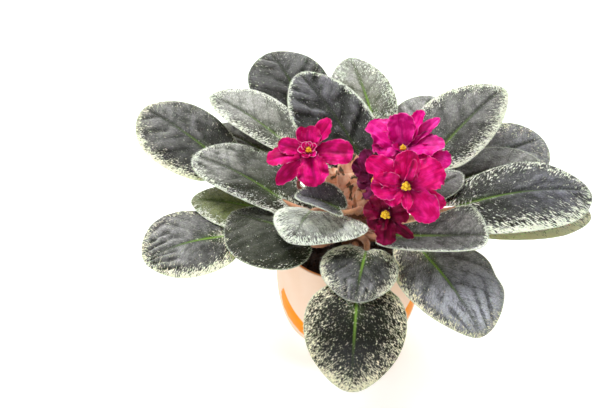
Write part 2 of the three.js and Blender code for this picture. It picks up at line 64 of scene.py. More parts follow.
# The shape of each leaf, in mm and degrees.
# base: where the blade joins its stalk. tip: its far end. width: over both halves.
# turn: roll about the midrib. arch: rise of the midrib's middle. cup: rise of both margins.
# left, right: reach of each half, as a share of half the width.
# full: how much it fills out towards the tip, or narrows if below 0. lobe: how far the lobes reach back.
# slim: how much narrower the left half is beside the stalk. notch: depth of a notch in the left margin.
# start: the height at which the stalk leaves the crown. stalk: the stalk's radius.
# by: a point that draws the stalk towards it.
# The skin of each leaf.
# flecks: share of pale flecks at the left margin, at the right margin and at the tip.
# band: how far in they reach. coarse: how many times larger they are. cream: 0 white-green, 1 cream.
# pale: how light and hazy the blade is, and frosted above 1.
# dusty: painted sheen that makes the blade paler still towards the tip, or painted shade there if below 0.
# dark: painted shade, how much darker the ground is.
# quilt: height of the bulges between the side veins. pleats: height of the pleats that fan out to the tip.
# green: strength of the green midrib. olive: how olive the ground is. violet: how violet the hairs' haze, a
# painted sheen, looks towards the tip. An olive below 0 makes them violet at the base too.
LEAVES = {
    "leaf_left_upper": dict(
        base=(-95, 57, 101), tip=(-156, 106, 115), width=60, turn=-12, arch=5, cup=-3, left=1.1, right=0.9,
        full=0.1, start=73, by=(-45, 52, 80),
        flecks=(1.15, 0.3, 0.8), band=7, cream=0.55, pale=0.18, quilt=1.3, green=0.36, dusty=0.2),
    "leaf_left_back": dict(
        base=(-48, 68, 111), tip=(-104, 106, 127), width=52, arch=4, cup=-3, left=0.66, right=1.34,
        full=0.15, start=88, lobe=2,
        flecks=(0.9, 0.9, 0.85), band=9, cream=0.15, pale=0.65, quilt=0.6, green=0.42, olive=0.15),
    "leaf_back_left": dict(
        base=(-31, 112.5, 104), tip=(-60, 165.5, 128), width=65, arch=6, cup=-4, full=0.2, start=76,
        flecks=(0.35, 0.3, 0.35), band=10, cream=0.2, pale=0.06, quilt=1.2, green=0.3, dusty=0.1),
    "leaf_back_middle": dict(
        base=(11, 39, 113), tip=(-36, 101, 150), width=62, arch=5, cup=-2, left=1.06, right=0.94,
        start=88, lobe=2.5,
        flecks=(0.9, 1.2, 0.9), band=3.5, cream=0.05, pale=0.12, quilt=2.8, green=0.12, violet=0.6,
        dusty=0.1, dark=0.2),
    "leaf_back_behind": dict(
        base=(21, 89, 112), tip=(3, 151, 132), width=50, arch=5, cup=-2, left=1.08, right=0.92, full=-0.25,
        start=80,
        flecks=(0.75, 0.8, 0.6), band=16, cream=0.1, pale=0.7, quilt=0.6, green=0.9, olive=0.5),
    "leaf_back_small": dict(
        base=(50, 83, 102), tip=(67, 124, 114), width=46, arch=3, cup=-2, start=73,
        flecks=(0.25, 0.25, 0.25), band=7, cream=0.2, pale=0.6, quilt=0.5, green=0.2),
    "leaf_back_right": dict(
        base=(64, 51, 110), tip=(119, 105, 134), width=61, turn=8, arch=5, cup=-4, left=1.2, right=0.8,
        full=-0.3, start=86,
        flecks=(0.95, 1.1, 0.95), band=8, cream=0.25, pale=0.42, quilt=0.6, green=0.45, dark=0.2),
    "leaf_right_behind": dict(
        base=(94, 61.7, 89), tip=(150, 89.7, 98), width=62, turn=8, arch=4, cup=-3, full=0.45, start=72,
        flecks=(0.8, 0.6, 0.4), band=12, cream=0.6, pale=0.45, quilt=0.6, green=0.3, violet=0.5),
    "leaf_right_dark": dict(
        base=(75, 40, 92), tip=(144, 59, 98), width=54, turn=8, arch=4, cup=-4, start=79,
        flecks=(0.3, 0.3, 0.3), band=4, cream=0.3, pale=0.3, quilt=0.7, green=0.2),
    "leaf_right_large": dict(
        base=(75, -3, 104), tip=(175, 20, 101), width=78, turn=2, arch=7, cup=-3, full=0.25, slim=0.3,
        start=82,
        flecks=(0.66, 1.1, 0.65), band=13, cream=0.2, pale=0.2, quilt=1.2, green=0.5, violet=1,
        dusty=0.6, dark=0.6, coarse=1.8, olive=-0.1),
    "leaf_right_lower": dict(
        base=(87, 14.5, 84), tip=(178, 18.5, 80), width=69, turn=-2, arch=6, cup=-3, start=72,
        flecks=(1.0, 1.45, 1.0), band=17, cream=0.7, pale=0.5, quilt=0.6, green=0.3, coarse=1.5),
    "leaf_right_small": dict(
        base=(54, 6, 108), tip=(82, 26, 112), width=24, turn=8, arch=2, cup=-2, start=88, stalk=1.5,
        flecks=(0.5, 0.6, 0.7), band=2, cream=0.05, pale=0.35, quilt=0.3, green=0.2),
    "leaf_front_cupped": dict(
        base=(25, -38, 107), tip=(95, -36, 106), width=48, turn=14, arch=-1, cup=12, left=0.92, right=0.84,
        full=0.7, slim=0.6, lobe=1.5, start=86,
        flecks=(0.5, 1.2, 1.1), band=3.4, cream=0.1, pale=0.5, quilt=0.9, green=0.8, dark=0.3),
    "leaf_front_broad": dict(
        base=(50, -33, 88), tip=(89, -93, 62), width=84, arch=6, cup=-8, left=1.14, right=0.74, full=-0.45,
        slim=0.3, notch=0.12, lobe=2.2, start=75,
        flecks=(0.4, 0.95, 0.75), band=6.5, cream=0.75, pale=1.05, quilt=0.55, green=1, dusty=0.75,
        pleats=1.1, violet=0.8, olive=0.1, coarse=1.2),
    "leaf_front_heart": dict(
        base=(10, -45, 98), tip=(2, -76, 78), width=54, arch=3, cup=-3, left=0.92, right=1.08, full=-0.2,
        start=81,
        flecks=(0.95, 1.05, 0.5), band=6.5, cream=0.5, pale=0.28, quilt=1.0, green=1, olive=0.2,
        dusty=0.4, pleats=0.9, violet=0.5),
    "leaf_front_hanging": dict(
        base=(4, -66, 80), tip=(-1, -120, 36), width=70, arch=6, cup=-4, full=-0.3, start=73,
        flecks=(0.74, 0.74, 1.0), band=16, cream=0.85, pale=0, quilt=0.6, green=1, olive=0.12,
        dusty=0.7, dark=1, violet=0.9),
    "leaf_middle_pale": dict(
        base=(-28, -10, 106), tip=(-41, -41, 101), width=69, turn=6, arch=4, cup=-1, left=1.36, right=0.64,
        full=-0.4, start=88,
        flecks=(0.85, 1.25, 0.95), band=10, cream=0.05, pale=1.6, quilt=0.6, green=0.4, dusty=-1,
        coarse=1.3),
    "leaf_front_left": dict(
        base=(-28, -26, 91), tip=(-86, 8, 89), width=53, turn=-4, arch=5, cup=-4, left=1.4, right=0.6,
        full=0.1, start=80,
        flecks=(0.5, 0.35, 0.5), band=4, cream=0.4, pale=0.06, quilt=1.0, green=0.6, olive=0.1,
        dark=0.4, dusty=0.15),
    "leaf_left_low": dict(
        base=(-90, -8, 81), tip=(-147, -30, 77), width=70, turn=-4, arch=5, cup=-4, left=0.92, right=1.08,
        full=0.1, start=73,
        flecks=(1.1, 0.6, 0.8), band=9, cream=0.55, pale=0.46, quilt=0.8, green=0.9, pleats=1.3,
        violet=0.1, coarse=1.3),
    "leaf_left_olive": dict(
        base=(-57, 14.5, 86), tip=(-116, 30.5, 85), width=48, turn=-4, arch=3, cup=-3, full=-0.25, start=77,
        flecks=(0.9, 0.4, 0.6), band=6, cream=0.2, pale=0.25, quilt=0.4, green=1, olive=1, dusty=0.2),
    "leaf_left_middle": dict(
        base=(-49, 10, 101), tip=(-114, 53, 109), width=54, turn=-5, arch=5, cup=-4, left=0.74, right=1.26,
        full=0.4, start=84, lobe=3.6,
        flecks=(0.85, 0.7, 0.9), band=6, cream=0.1, pale=0.15, quilt=1.5, green=0.4, dusty=0.8,
        pleats=0.4, olive=0.08),
    "leaf_left_tip": dict(
        base=(-61, 71, 98), tip=(-103, 100, 101), width=40, turn=-6, arch=2, cup=-2, start=80,
        flecks=(0.2, 0.2, 0.2), band=3, cream=0.2, pale=0.35, quilt=0.8, green=0.2),
    "leaf_middle_small": dict(
        base=(-7, -23, 117), tip=(-39, -12, 122), width=28, arch=3, cup=5, start=93, by=(13, -15, 120),
        stalk=1.6,
        flecks=(0.9, 0.6, 0.8), band=2.5, cream=0.1, pale=0.3, quilt=0.3, green=0.3, violet=0.8, dark=0.1),
}

# wave: height of the waves in the margins. waves: how many of them there are.
YOUNG_LEAVES = {
    "young_leaf_1": dict(base=(4, 4, 107), tip=(-1, 25, 131), width=25, arch=3, cup=5, wave=2, waves=2),
    "young_leaf_2": dict(base=(-7, 3, 105), tip=(-13, 15, 125), width=20, arch=2, cup=3, wave=1.2, waves=1.5),
    "young_leaf_3": dict(base=(11, -4, 104), tip=(14, 7, 120), width=15, arch=2, cup=3, wave=1.5, waves=2),
    "young_leaf_4": dict(base=(1, -4, 102), tip=(-4, -3, 109), width=7, arch=1, cup=2),
}

# at: the middle of the throat. faces: the way the bloom looks. via: points that its stalk passes.
# petals: the angle round the bloom, length, width, how steeply it stands up, how much it bends back, its
# roll, and how much it fills out towards the tip. inner: the same for the small petals inside them.
# petaloids: angle, length, width and steepness of the pale-edged ones round the anthers.
# anthers: the size of the cluster of pollen sacs.
BLOOMS = {
    "left": dict(
        at=(-29, 6, 146), faces=(-0.15, -0.5, 0.75), via=[(-12, 12, 98), (-30, 11, 106), (-37, 8, 117)],
        petals=[(192, 29, 17, 4, 14, 10, 0), (222, 31, 13, -8, 6, -15, -0.5), (281, 26, 23, 4, 16, 0, 0.1),
                (350, 31, 19, 10, 12, 12, 0.4), (45, 26, 15, 30, 0, -20, 0.4),
                (110, 17, 11, 38, 0, 15, -0.5), (74, 17, 15, 38, 4, 0, 0), (168, 21, 13, 18, 6, -12, 0)],
        inner=[(260, 10, 8, 55, 0, 0, 0)],
        petaloids=[(20, 7, 6, 50), (75, 6.5, 6, 60), (130, 7, 6, 55), (185, 7.5, 6, 45), (310, 7, 6, 40)],
        anthers=0.75),
    "top": dict(
        at=(37, 6, 147), faces=(-0.2, -0.3, 0.9), via=[(22, 11, 107), (34, 12, 126)],
        petals=[(136, 30, 27, 18, 6, 10, 0), (88, 25, 21, 48, -4, 0, -0.1), (54, 29, 13, 27, 0, -15, 0.3),
                (36, 32, 10, 10, 6, 10, -0.4), (354, 28, 22, 8, 12, -8, 0), (334, 34, 18, -2, 10, 0, 0.2),
                (168, 21, 21, 10, 10, 0, 0)],
        inner=[(200, 10, 8, 60, 0, 0, 0), (226, 16, 15, 2, 4, 0, 0)],
        petaloids=[], anthers=0.8),
    "front": dict(
        at=(36, -32, 144), faces=(0.05, -0.75, 0.65), via=[(22, -10, 101), (32, -22, 120)],
        petals=[(146, 31, 20, 8, 6, 10, -0.3), (88, 24, 19, 22, 2, 0, -0.2), (27, 27, 25, 8, 12, -8, 0.1),
                (310, 29, 22, 2, 14, 0, -0.3), (178, 23, 20, 14, 10, -10, -0.3), (212, 17, 17, 14, 6, 0, 0),
                (335, 29, 14, -8, 8, 10, 0)],
        inner=[(272, 15, 8, 20, 6, 0, 0), (76, 22, 8, 44, 0, 25, -0.4)],
        petaloids=[]),
    "wine": dict(
        at=(23, -40, 127), faces=(-0.1, -0.85, 0.5), via=[(9, -20, 99), (15, -31, 108)],
        petals=[(112, 15, 16, 8, 8, 0, -0.2), (165, 14, 15, 8, 8, 10, 0), (268, 20, 17, 10, 10, -15, 0),
                (218, 13, 13, 2, 6, 0, -0.3), (318, 24, 9, -8, 6, 20, -0.4), (10, 15, 17, 8, 8, 0, 0)],
        inner=[(262, 11, 8, 35, 4, 20, 0)],
        petaloids=[]),
    "back": dict(
        at=(21, -2, 125.5), faces=(-0.75, -0.3, 0.45), via=[(24, 0, 103), (33, -1, 113)],
        petals=[(150, 24, 17, 38, 4, 10, 0), (190, 23, 17, 38, 4, 0, -0.3), (228, 16, 14, 34, 4, -10, 0),
                (100, 19, 15, 38, 0, 0, 0), (300, 15, 13, 30, 0, 0, 0)],
        inner=[(180, 8, 7, 60, 0, 0, 0)],
        petaloids=[]),
}


def linear(hex_colour):
    """The linear colour, with alpha, of an sRGB hex value."""
    parts = [int(hex_colour[i:i + 2], 16) / 255 for i in (1, 3, 5)]
    return [p / 12.92 if p <= 0.04045 else ((p + 0.055) / 1.055) ** 2.4 for p in parts] + [1]


def unit(vectors):
    """The same directions with a length of 1."""
    vectors = np.asarray(vectors, float)
    return vectors / np.maximum(np.linalg.norm(vectors, axis=-1, keepdims=True), 1e-9)


def ease(value, low, high):
    """0 below low, 1 above high, smooth between."""
    s = np.clip((value - low) / (high - low), 0, 1)
    return s * s * (3 - 2 * s)


def lumps(a, b, seed):
    """Smooth random heights from -1 to 1 over a plane, with lumps about one unit apart."""
    table = np.random.default_rng(seed).uniform(-1, 1, (64, 64))
    i, j = np.floor(a).astype(int), np.floor(b).astype(int)
    f, g = ease(a - i, 0, 1), ease(b - j, 0, 1)
    low = table[i % 64, j % 64] * (1 - f) + table[(i + 1) % 64, j % 64] * f
    high = table[i % 64, (j + 1) % 64] * (1 - f) + table[(i + 1) % 64, (j + 1) % 64] * f
    return low * (1 - g) + high * g


def smooth_line(points, first, last, shares):
    """A smooth line through points at the given shares of its spans, with a guide point past each end."""
    every = np.array([first, *points, last], float)
    spans = len(points) - 1
    s = np.asarray(shares, float) * spans
    k = np.minimum(s.astype(int), spans - 1)
    f = (s - k)[:, None]
    a, b, c, d = every[k], every[k + 1], every[k + 2], every[k + 3]
    return 0.5 * (2 * b + (c - a) * f + (2 * a - 5 * b + 4 * c - d) * f ** 2
                  + (3 * b - a - 3 * c + d) * f ** 3)


def smooth_path(points, steps):
    """A smooth line through points, cut into even steps."""
    points = np.array(points, float)
    first, last = 2 * points[0] - points[1], 2 * points[-1] - points[-2]
    return smooth_line(points, first, last, np.linspace(0, 1, steps + 1))


def half_outline(outline, shares):
    """Half of an outline, which leaves the midrib squarely at both ends."""
    first = (outline[1][0], -outline[1][1])
    last = (outline[-2][0], -outline[-2][1])
    return smooth_line(outline, first, last, shares)


def bezier(a, b, c, d, steps):
    """A curve from a to d that b and c draw towards them."""
    t = np.linspace(0, 1, steps + 1)[:, None]
    return (1 - t) ** 3 * a + 3 * (1 - t) ** 2 * t * b + 3 * (1 - t) * t ** 2 * c + t ** 3 * d


def blade_face(blade, outline, rows, across):
    """The upper face of a blade and its maps. The rows follow each other from base to tip, and each runs
    from the right margin over the midrib to the left margin."""
    base = np.array(blade["base"], float)
    ahead = np.array(blade["tip"], float) - base
    length = np.linalg.norm(ahead)
    ahead /= length
    side = unit(np.cross(blade.get("up", (0, 0, 1)), ahead))
    turn = math.radians(blade.get("turn", 0))
    side = side * math.cos(turn) + np.cross(ahead, side) * math.sin(turn)
    up = np.cross(ahead, side)
    t = np.linspace(0, 1, rows + 1)[:, None]
    j = np.linspace(-1, 1, 2 * across + 1)[None, :]
    v = np.abs(j)
    margin = half_outline(outline, t[:, 0])
    reach = margin[:, :1]
    filled = reach + blade.get("full", 0) * reach * (1 - reach)
    reach = np.where(reach < 0, reach * blade.get("lobe", 1), filled)
    left = blade.get("left", 1) * (1 - blade.get("slim", 0) * (1 - ease(t, 0.3, 0.7))
                                   - blade.get("notch", 0) * np.exp(-((t - 0.62) / 0.07) ** 2))
    rib = t ** 1.15
    x = rib + (reach - rib) * v
    y = np.sign(j) * margin[:, 1:] * v * np.where(j > 0, left, blade.get("right", 1))
    wave = blade.get("wave", 0) * np.sin(
        2 * np.pi * blade.get("waves", 3) * t + blade.get("phase", 0) + np.where(j < 0, 1.7, 0))
    rise = (blade.get("arch", 0) * 4 * x * (1 - x) + blade.get("cup", 0) * y * y
            + wave * v ** 3 * np.sin(np.pi * t))
    flat = np.stack([x * length, y * (blade["width"] / 2)], -1)
    points = base + flat[..., :1] * ahead + flat[..., 1:] * side + rise[..., None] * up
    to_edge = np.full(x.shape, np.inf)
    for margin_point in np.concatenate([flat[:, 0], flat[:, -1]]):
        away = flat - margin_point
        to_edge = np.minimum(to_edge, np.hypot(away[..., 0], away[..., 1]))
    return dict(points=points, t=t + 0 * v, v=v + 0 * t, x=x, y=y, flat=flat, edge=to_edge, length=length,
                out=unit(side * np.sign(y)[..., None] + ahead * (x - 0.5)[..., None]))


def face_normals(face):
    """The upward direction at each point of a face."""
    rows, last = face.shape[0] - 1, face.shape[1] - 1
    i = np.clip(np.arange(rows + 1), 1, rows - 1)
    j = np.arange(last + 1)
    along = face[i + 1] - face[i - 1]
    over = face[i][:, np.minimum(j + 1, last)] - face[i][:, np.maximum(j - 1, 0)]
    return unit(np.cross(along, over))


def wrapped(index):
    """A grid of point numbers with its first column again at the end, so that it closes on itself."""
    return np.concatenate([index, index[:, :1]], 1)


def grid_faces(index):
    """Two triangles for each cell of a grid of point numbers, without those that have no area."""
    a, b, c, d = index[:-1, :-1], index[1:, :-1], index[1:, 1:], index[:-1, 1:]
    faces = np.concatenate([np.stack(f, -1).reshape(-1, 3) for f in ((a, b, c), (a, c, d))])
    whole = (faces[:, 0] != faces[:, 1]) & (faces[:, 1] != faces[:, 2]) & (faces[:, 0] != faces[:, 2])
    return faces[whole]


class Piece:
    """One piece, gathered part by part: points in mm, triangles, a finish for each and maps for points."""

    def __init__(self):
        self.parts = []

    def add(self, points, faces, finish, maps=None):
        """Adds one part, without the points that none of its triangles uses."""
        used, renumbered = np.unique(faces, return_inverse=True)
        points = np.asarray(points, float).reshape(-1, 3)
        maps = {name: np.asarray(values, float).reshape(len(points), -1)[used]
                for name, values in (maps or {}).items()}
        self.parts.append((points[used], renumbered.reshape(-1, 3), finish, maps))

    def add_grid(self, points, index, finish, maps=None):
        """Adds the surface that a grid of point numbers spans."""
        self.add(points, grid_faces(index), finish, maps)

    def make(self, name, node):
        """Makes the Blender object that stands for the CAD node of that name."""
        starts = np.cumsum([0] + [len(p[0]) for p in self.parts])
        points = np.concatenate([p[0] for p in self.parts]) * MM
        faces = np.concatenate([p[1] + s for p, s in zip(self.parts, starts)])
        mesh = bpy.data.meshes.new(name)
        mesh.from_pydata(points, [], faces)
        finishes = list(dict.fromkeys(p[2] for p in self.parts))
        for finish in finishes:
            mesh.materials.append(finish)
        numbers = np.concatenate([np.full(len(p[1]), finishes.index(p[2])) for p in self.parts])
        mesh.polygons.foreach_set("material_index", numbers.astype(np.int32))
        for map_name in sorted({m for p in self.parts for m in p[3]}):
            width = next(p[3][map_name].shape[1] for p in self.parts if map_name in p[3])
            values = np.concatenate([p[3].get(map_name, np.zeros((len(p[0]), width))) for p in self.parts])
            layer = mesh.attributes.new(map_name, "FLOAT_VECTOR" if width == 3 else "FLOAT", "POINT")
            layer.data.foreach_set("vector" if width == 3 else "value", values.astype(np.float32).ravel())
        mesh.shade_smooth()
        mesh.validate()
        piece = bpy.data.objects.new(name, mesh)
        bpy.context.scene.collection.objects.link(piece)
        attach(piece, "root")
        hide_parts(node)


def add_sheet(piece, face, normals, thickness, finish, under_finish, maps):
    """Adds a closed sheet under a face. thickness may vary over the face."""
    rows, columns = face.shape[:2]
    index = np.arange(rows * columns).reshape(rows, columns)
    index[0], index[-1] = index[0, columns // 2], index[-1, columns // 2]
    under = face - normals * np.broadcast_to(thickness, (rows, columns))[..., None]
    points = np.concatenate([face.reshape(-1, 3), under.reshape(-1, 3)])
    both = {name: np.concatenate([v.reshape(rows * columns, -1)] * 2) for name, v in maps.items()}
    low = index + rows * columns
    piece.add_grid(points, index, finish, both)
    piece.add_grid(points, low[:, ::-1], under_finish, both)
    piece.add_grid(points, np.stack([low[:, 0], index[:, 0]], 1), finish, both)
    piece.add_grid(points, np.stack([index[:, -1], low[:, -1]], 1), finish, both)


def add_tube(piece, points, radii, sides, finish):
    """Adds a round stalk with closed ends, and gives its rings of points and outward directions."""
    points = np.asarray(points, float)
    tangents = unit(np.gradient(points, axis=0))
    sideways = unit(np.cross((0.3, 0.2, 0.93), tangents[0]))
    angles = np.arange(sides) * 2 * np.pi / sides
    rings, outward = [], []
    for point, tangent, radius in zip(points, tangents, radii):
        sideways = unit(sideways - tangent * sideways.dot(tangent))
        other = np.cross(tangent, sideways)
        out = np.cos(angles)[:, None] * sideways + np.sin(angles)[:, None] * other
        rings.append(point + out * radius)
        outward.append(out)
    count = len(points)
    index = wrapped(np.arange(count * sides).reshape(count, sides))
    start, end = count * sides, count * sides + 1
    faces = [np.flip(grid_faces(index), 1)]
    faces.append(np.array([(start, index[0, k + 1], index[0, k]) for k in range(sides)]))
    faces.append(np.array([(end, index[-1, k], index[-1, k + 1]) for k in range(sides)]))
    everything = np.concatenate([np.array(rings).reshape(-1, 3), points[:1], points[-1:]])
    piece.add(everything, np.concatenate(faces), finish)
    return np.array(rings).reshape(-1, 3), np.array(outward).reshape(-1, 3)


def add_turned(piece, profile, segments, finish, place=None, shape=None):
    """Adds a solid of revolution about the Z axis. shape may push its points, place moves them."""
    profile = np.array(profile, float)
    angles = np.linspace(0, 2 * np.pi, segments, endpoint=False)
    radius, height = profile[:, :1], profile[:, 1:]
    points = np.stack([radius * np.cos(angles), radius * np.sin(angles), height + 0 * angles], -1)
    if shape:
        points = shape(points)
    if place:
        points = place(points)
    index = np.arange(len(profile) * segments).reshape(len(profile), segments)
    index[profile[:, 0] == 0] = index[profile[:, 0] == 0][:, :1]
    piece.add_grid(points.reshape(-1, 3), wrapped(index)[:, ::-1], finish)


def add_hairs(piece, roots, directions, length, width, spread, finish, seed):
    """Adds one thin pointed triangle for each hair, leaning at random."""
    rng = np.random.default_rng(seed)
    lean = unit(unit(directions) + rng.normal(0, spread, roots.shape))
    across = unit(np.cross(lean, rng.normal(0, 1, roots.shape)))
    reach = length * rng.uniform(0.6, 1, (len(roots), 1))
    points = np.stack([roots - across * width / 2, roots + across * width / 2, roots + lean * reach], 1)
    piece.add(points, np.arange(len(roots) * 3).reshape(-1, 3), finish)


def set_inputs(tree, node, inputs):
    """Gives each input its number, its sRGB colour or the output that feeds it."""
    for name, value in inputs.items():
        if isinstance(value, bpy.types.NodeSocket):
            tree.links.new(value, node.inputs[name])
        else:
            node.inputs[name].default_value = linear(value) if isinstance(value, str) else value


def add(tree, kind, inputs, **settings):
    """Adds one node to a material and gives its outputs. Inputs without a name of their own are numbered.
    MapRange: 0 is the value, 1 and 2 are the range that it comes from, 3 and 4 the range that it goes to,
    which is 0 to 1 if not given. Mix: 0 is the share of the second, 2 and 3 are the two numbers, or 6 and
    7 the two colours, which come out at 2. Math: 0, 1 and 2 are its numbers in their order."""
    node = tree.nodes.new("ShaderNode" + kind)
    for name, value in settings.items():
        setattr(node, name, value)
    set_inputs(tree, node, inputs)
    return node.outputs


def new_finish(name, inputs):
    """A new material, its tree and its shader, with the given inputs set."""
    made = bpy.data.materials.new(name)
    made.use_nodes = True
    shader = made.node_tree.nodes["Principled BSDF"]
    set_inputs(made.node_tree, shader, inputs)
    return made, made.node_tree, shader


def haired_ground(tree, flat, veined, pale_share, olive_share):
    """Green-black with painted shade in the hollows and slate with painted light on the bulges, clouded at
    about
    7 mm, and paler where the hairs lie thick, more so on the bulges as a painted highlight. Gives the colour
    and the weight of the hairs' sheen."""
    raised = add(tree, "Attribute", {}, attribute_name="raised")["Fac"]
    clouds = add(tree, "TexNoise", {"Vector": flat, "Scale": 1 / 7, "Detail": 4.0, "Roughness": 0.65})[0]
    cloud_share = add(tree, "MapRange", {0: clouds, 1: 0.3, 2: 0.7})[0]
    # Painted light and shade: lighter on the bulges, darker in the hollows, towards the base and on leaves in
    # shade.
    lit_share = add(tree, "Mix", {0: 0.28, 2: raised, 3: cloud_share})[0]
    lit_share = add(tree, "MapRange", {0: lit_share, 1: 0.27, 2: 0.75})[0]
    slate = add(tree, "Mix", {0: lit_share, 6: "#14140d", 7: "#474647"}, data_type="RGBA")[2]
    olive = add(tree, "Mix", {0: lit_share, 6: "#4d5c0e", 7: "#8c9a2c"}, data_type="RGBA")[2]
    ground = add(tree, "Mix", {0: olive_share, 6: slate, 7: olive}, data_type="RGBA")[2]
    sheen = add(tree, "MapRange", {0: lit_share, 1: 0.0, 2: 1.0, 3: 0.06, 4: 0.34})[0]

    # The hairs lie in tufts of about 0.8 by 2.4 mm. Where a leaf is paler than 1 they are frosted.
    tuft_size = add(tree, "VectorMath", {0: veined, 1: (1 / 0.8, 1 / 2.4, 0)}, operation="MULTIPLY")[0]
    tufts = add(tree, "TexNoise", {"Vector": tuft_size, "Scale": 1.0, "Detail": 3.0, "Roughness": 0.65})[0]
    tuft_share = add(tree, "MapRange", {0: tufts, 1: 0.3, 2: 0.7, 3: 0.35, 4: 1.5})[0]
    # The haze of the hairs is stronger on the lit bulges: a painted highlight.
    haze_share = add(tree, "MapRange", {0: lit_share, 1: 0.0, 2: 1.0, 3: 0.3, 4: 1.4})[0]
    haze_share = add(tree, "Math", {0: haze_share, 1: pale_share}, operation="MULTIPLY")[0]
    haze_share = add(tree, "Math", {0: haze_share, 1: tuft_share}, operation="MULTIPLY", use_clamp=True)[0]
    violet_share = add(tree, "Math", {0: olive_share, 1: -1.0}, operation="MULTIPLY", use_clamp=True)[0]
    hairs = add(tree, "Mix", {0: violet_share, 6: "#b5b5b0", 7: "#aeafbe"}, data_type="RGBA")[2]
    frost_share = add(tree, "MapRange", {0: pale_share, 1: 1.0, 2: 1.6, 3: 0.0, 4: 0.85})[0]
    frost = add(tree, "Mix", {0: violet_share, 6: "#dde3d6", 7: "#d6d7e8"}, data_type="RGBA")[2]
    hairs = add(tree, "Mix", {0: frost_share, 6: hairs, 7: frost}, data_type="RGBA")[2]
    return add(tree, "Mix", {0: haze_share, 6: ground, 7: hairs}, data_type="RGBA")[2], sheen


def vein_lines(tree, skin, phase, from_rib, green_share, net):
    """Draws the side veins, one each whole step of phase and green near the midrib, and the net of small
    veins between them."""
    to_vein = add(tree, "Math", {0: phase, 1: 0.5}, operation="PINGPONG")[0]
    vein_share = add(tree, "MapRange", {0: to_vein, 1: 0.02, 2: 0.09, 3: 0.25, 4: 0.0})[0]
    skin = add(tree, "Mix", {0: vein_share, 6: skin, 7: "#1a211b"}, data_type="RGBA")[2]
    near_rib = add(tree, "MapRange", {0: from_rib, 1: 2.0, 2: 18.0, 3: 1.0, 4: 0.0})[0]
    line = add(tree, "MapRange", {0: to_vein, 1: 0.0, 2: 0.03, 3: 0.9, 4: 0.0})[0]
    line = add(tree, "Math", {0: line, 1: near_rib}, operation="MULTIPLY")[0]
    line = add(tree, "Math", {0: line, 1: green_share}, operation="MULTIPLY", use_clamp=True)[0]
    skin = add(tree, "Mix", {0: line, 6: skin, 7: "#6d8a4c"}, data_type="RGBA")[2]
    net_share = add(tree, "MapRange", {0: net, 1: 0.0, 2: 0.12, 3: 0.35, 4: 0.0})[0]
    return add(tree, "Mix", {0: net_share, 6: skin, 7: "#26301f"}, data_type="RGBA")[2]


def green_shares(tree, from_rib, green_share, rib_strength):
    """How green the flesh beside the midrib is, fading out over 7.5 mm, and how green the midrib itself."""
    wash = add(tree, "MapRange", {0: from_rib, 1: 0.5, 2: 7.5, 3: 0.85, 4: 0.0},
               interpolation_type="SMOOTHSTEP")[0]
    wash_share = add(tree, "Math", {0: wash, 1: green_share}, operation="MULTIPLY")[0]
    rib = add(tree, "MapRange", {0: from_rib, 1: 0.2, 2: 1.5, 3: 0.95, 4: 0.0},
              interpolation_type="SMOOTHSTEP")[0]
    return wash_share, add(tree, "Math", {0: rib, 1: rib_strength}, operation="MULTIPLY")[0]


def flecked_skin(tree, skin, flat, veined, fleck_share, cream_share):
    """Draws the flecks: 0.7 mm across the veins and 1.8 mm along them, gathered in clumps of about 4 by
    8 mm, broken up by a 0.6 mm grain, and set in flesh that is darker round them."""
    streak_size = add(tree, "VectorMath", {0: veined, 1: (1 / 0.7, 1 / 1.8, 0)}, operation="MULTIPLY")[0]
    streaks = add(tree, "TexNoise", {"Vector": streak_size, "Scale": 1.0, "Detail": 2.0, "Roughness": 0.5})[0]
    clump_size = add(tree, "VectorMath", {0: veined, 1: (1 / 4, 1 / 8, 0)}, operation="MULTIPLY")[0]
    clumps = add(tree, "TexNoise", {"Vector": clump_size, "Scale": 1.0, "Detail": 2.0})[0]
    grain = add(tree, "TexNoise", {"Vector": flat, "Scale": 1 / 0.6, "Detail": 1.0})[0]
    mixed = add(tree, "Mix", {0: 0.3, 2: streaks, 3: grain})[0]
    mixed = add(tree, "Mix", {0: 0.2, 2: mixed, 3: clumps})[0]
    level = add(tree, "MapRange", {0: mixed, 1: 0.36, 2: 0.64}, clamp=False)[0]
    over = add(tree, "Math", {0: level, 1: fleck_share}, operation="ADD")[0]
    around = add(tree, "MapRange", {0: over, 1: 0.72, 2: 0.92, 3: 0.0, 4: 0.6})[0]
    between = add(tree, "MapRange", {0: fleck_share, 1: 0.12, 2: 0.55, 3: 0.0, 4: 0.75})[0]
    between = add(tree, "Math", {0: around, 1: between}, operation="MAXIMUM")[0]
    skin = add(tree, "Mix", {0: between, 6: skin, 7: "#1c1b10"}, data_type="RGBA")[2]
    fleck_colour = add(tree, "Mix", {0: cream_share, 6: "#dbe3d4", 7: "#f5eed0"}, data_type="RGBA")[2]
    flecked = add(tree, "MapRange", {0: over, 1: 0.97, 2: 1.06})[0]
    return add(tree, "Mix", {0: flecked, 6: skin, 7: fleck_colour}, data_type="RGBA")[2]


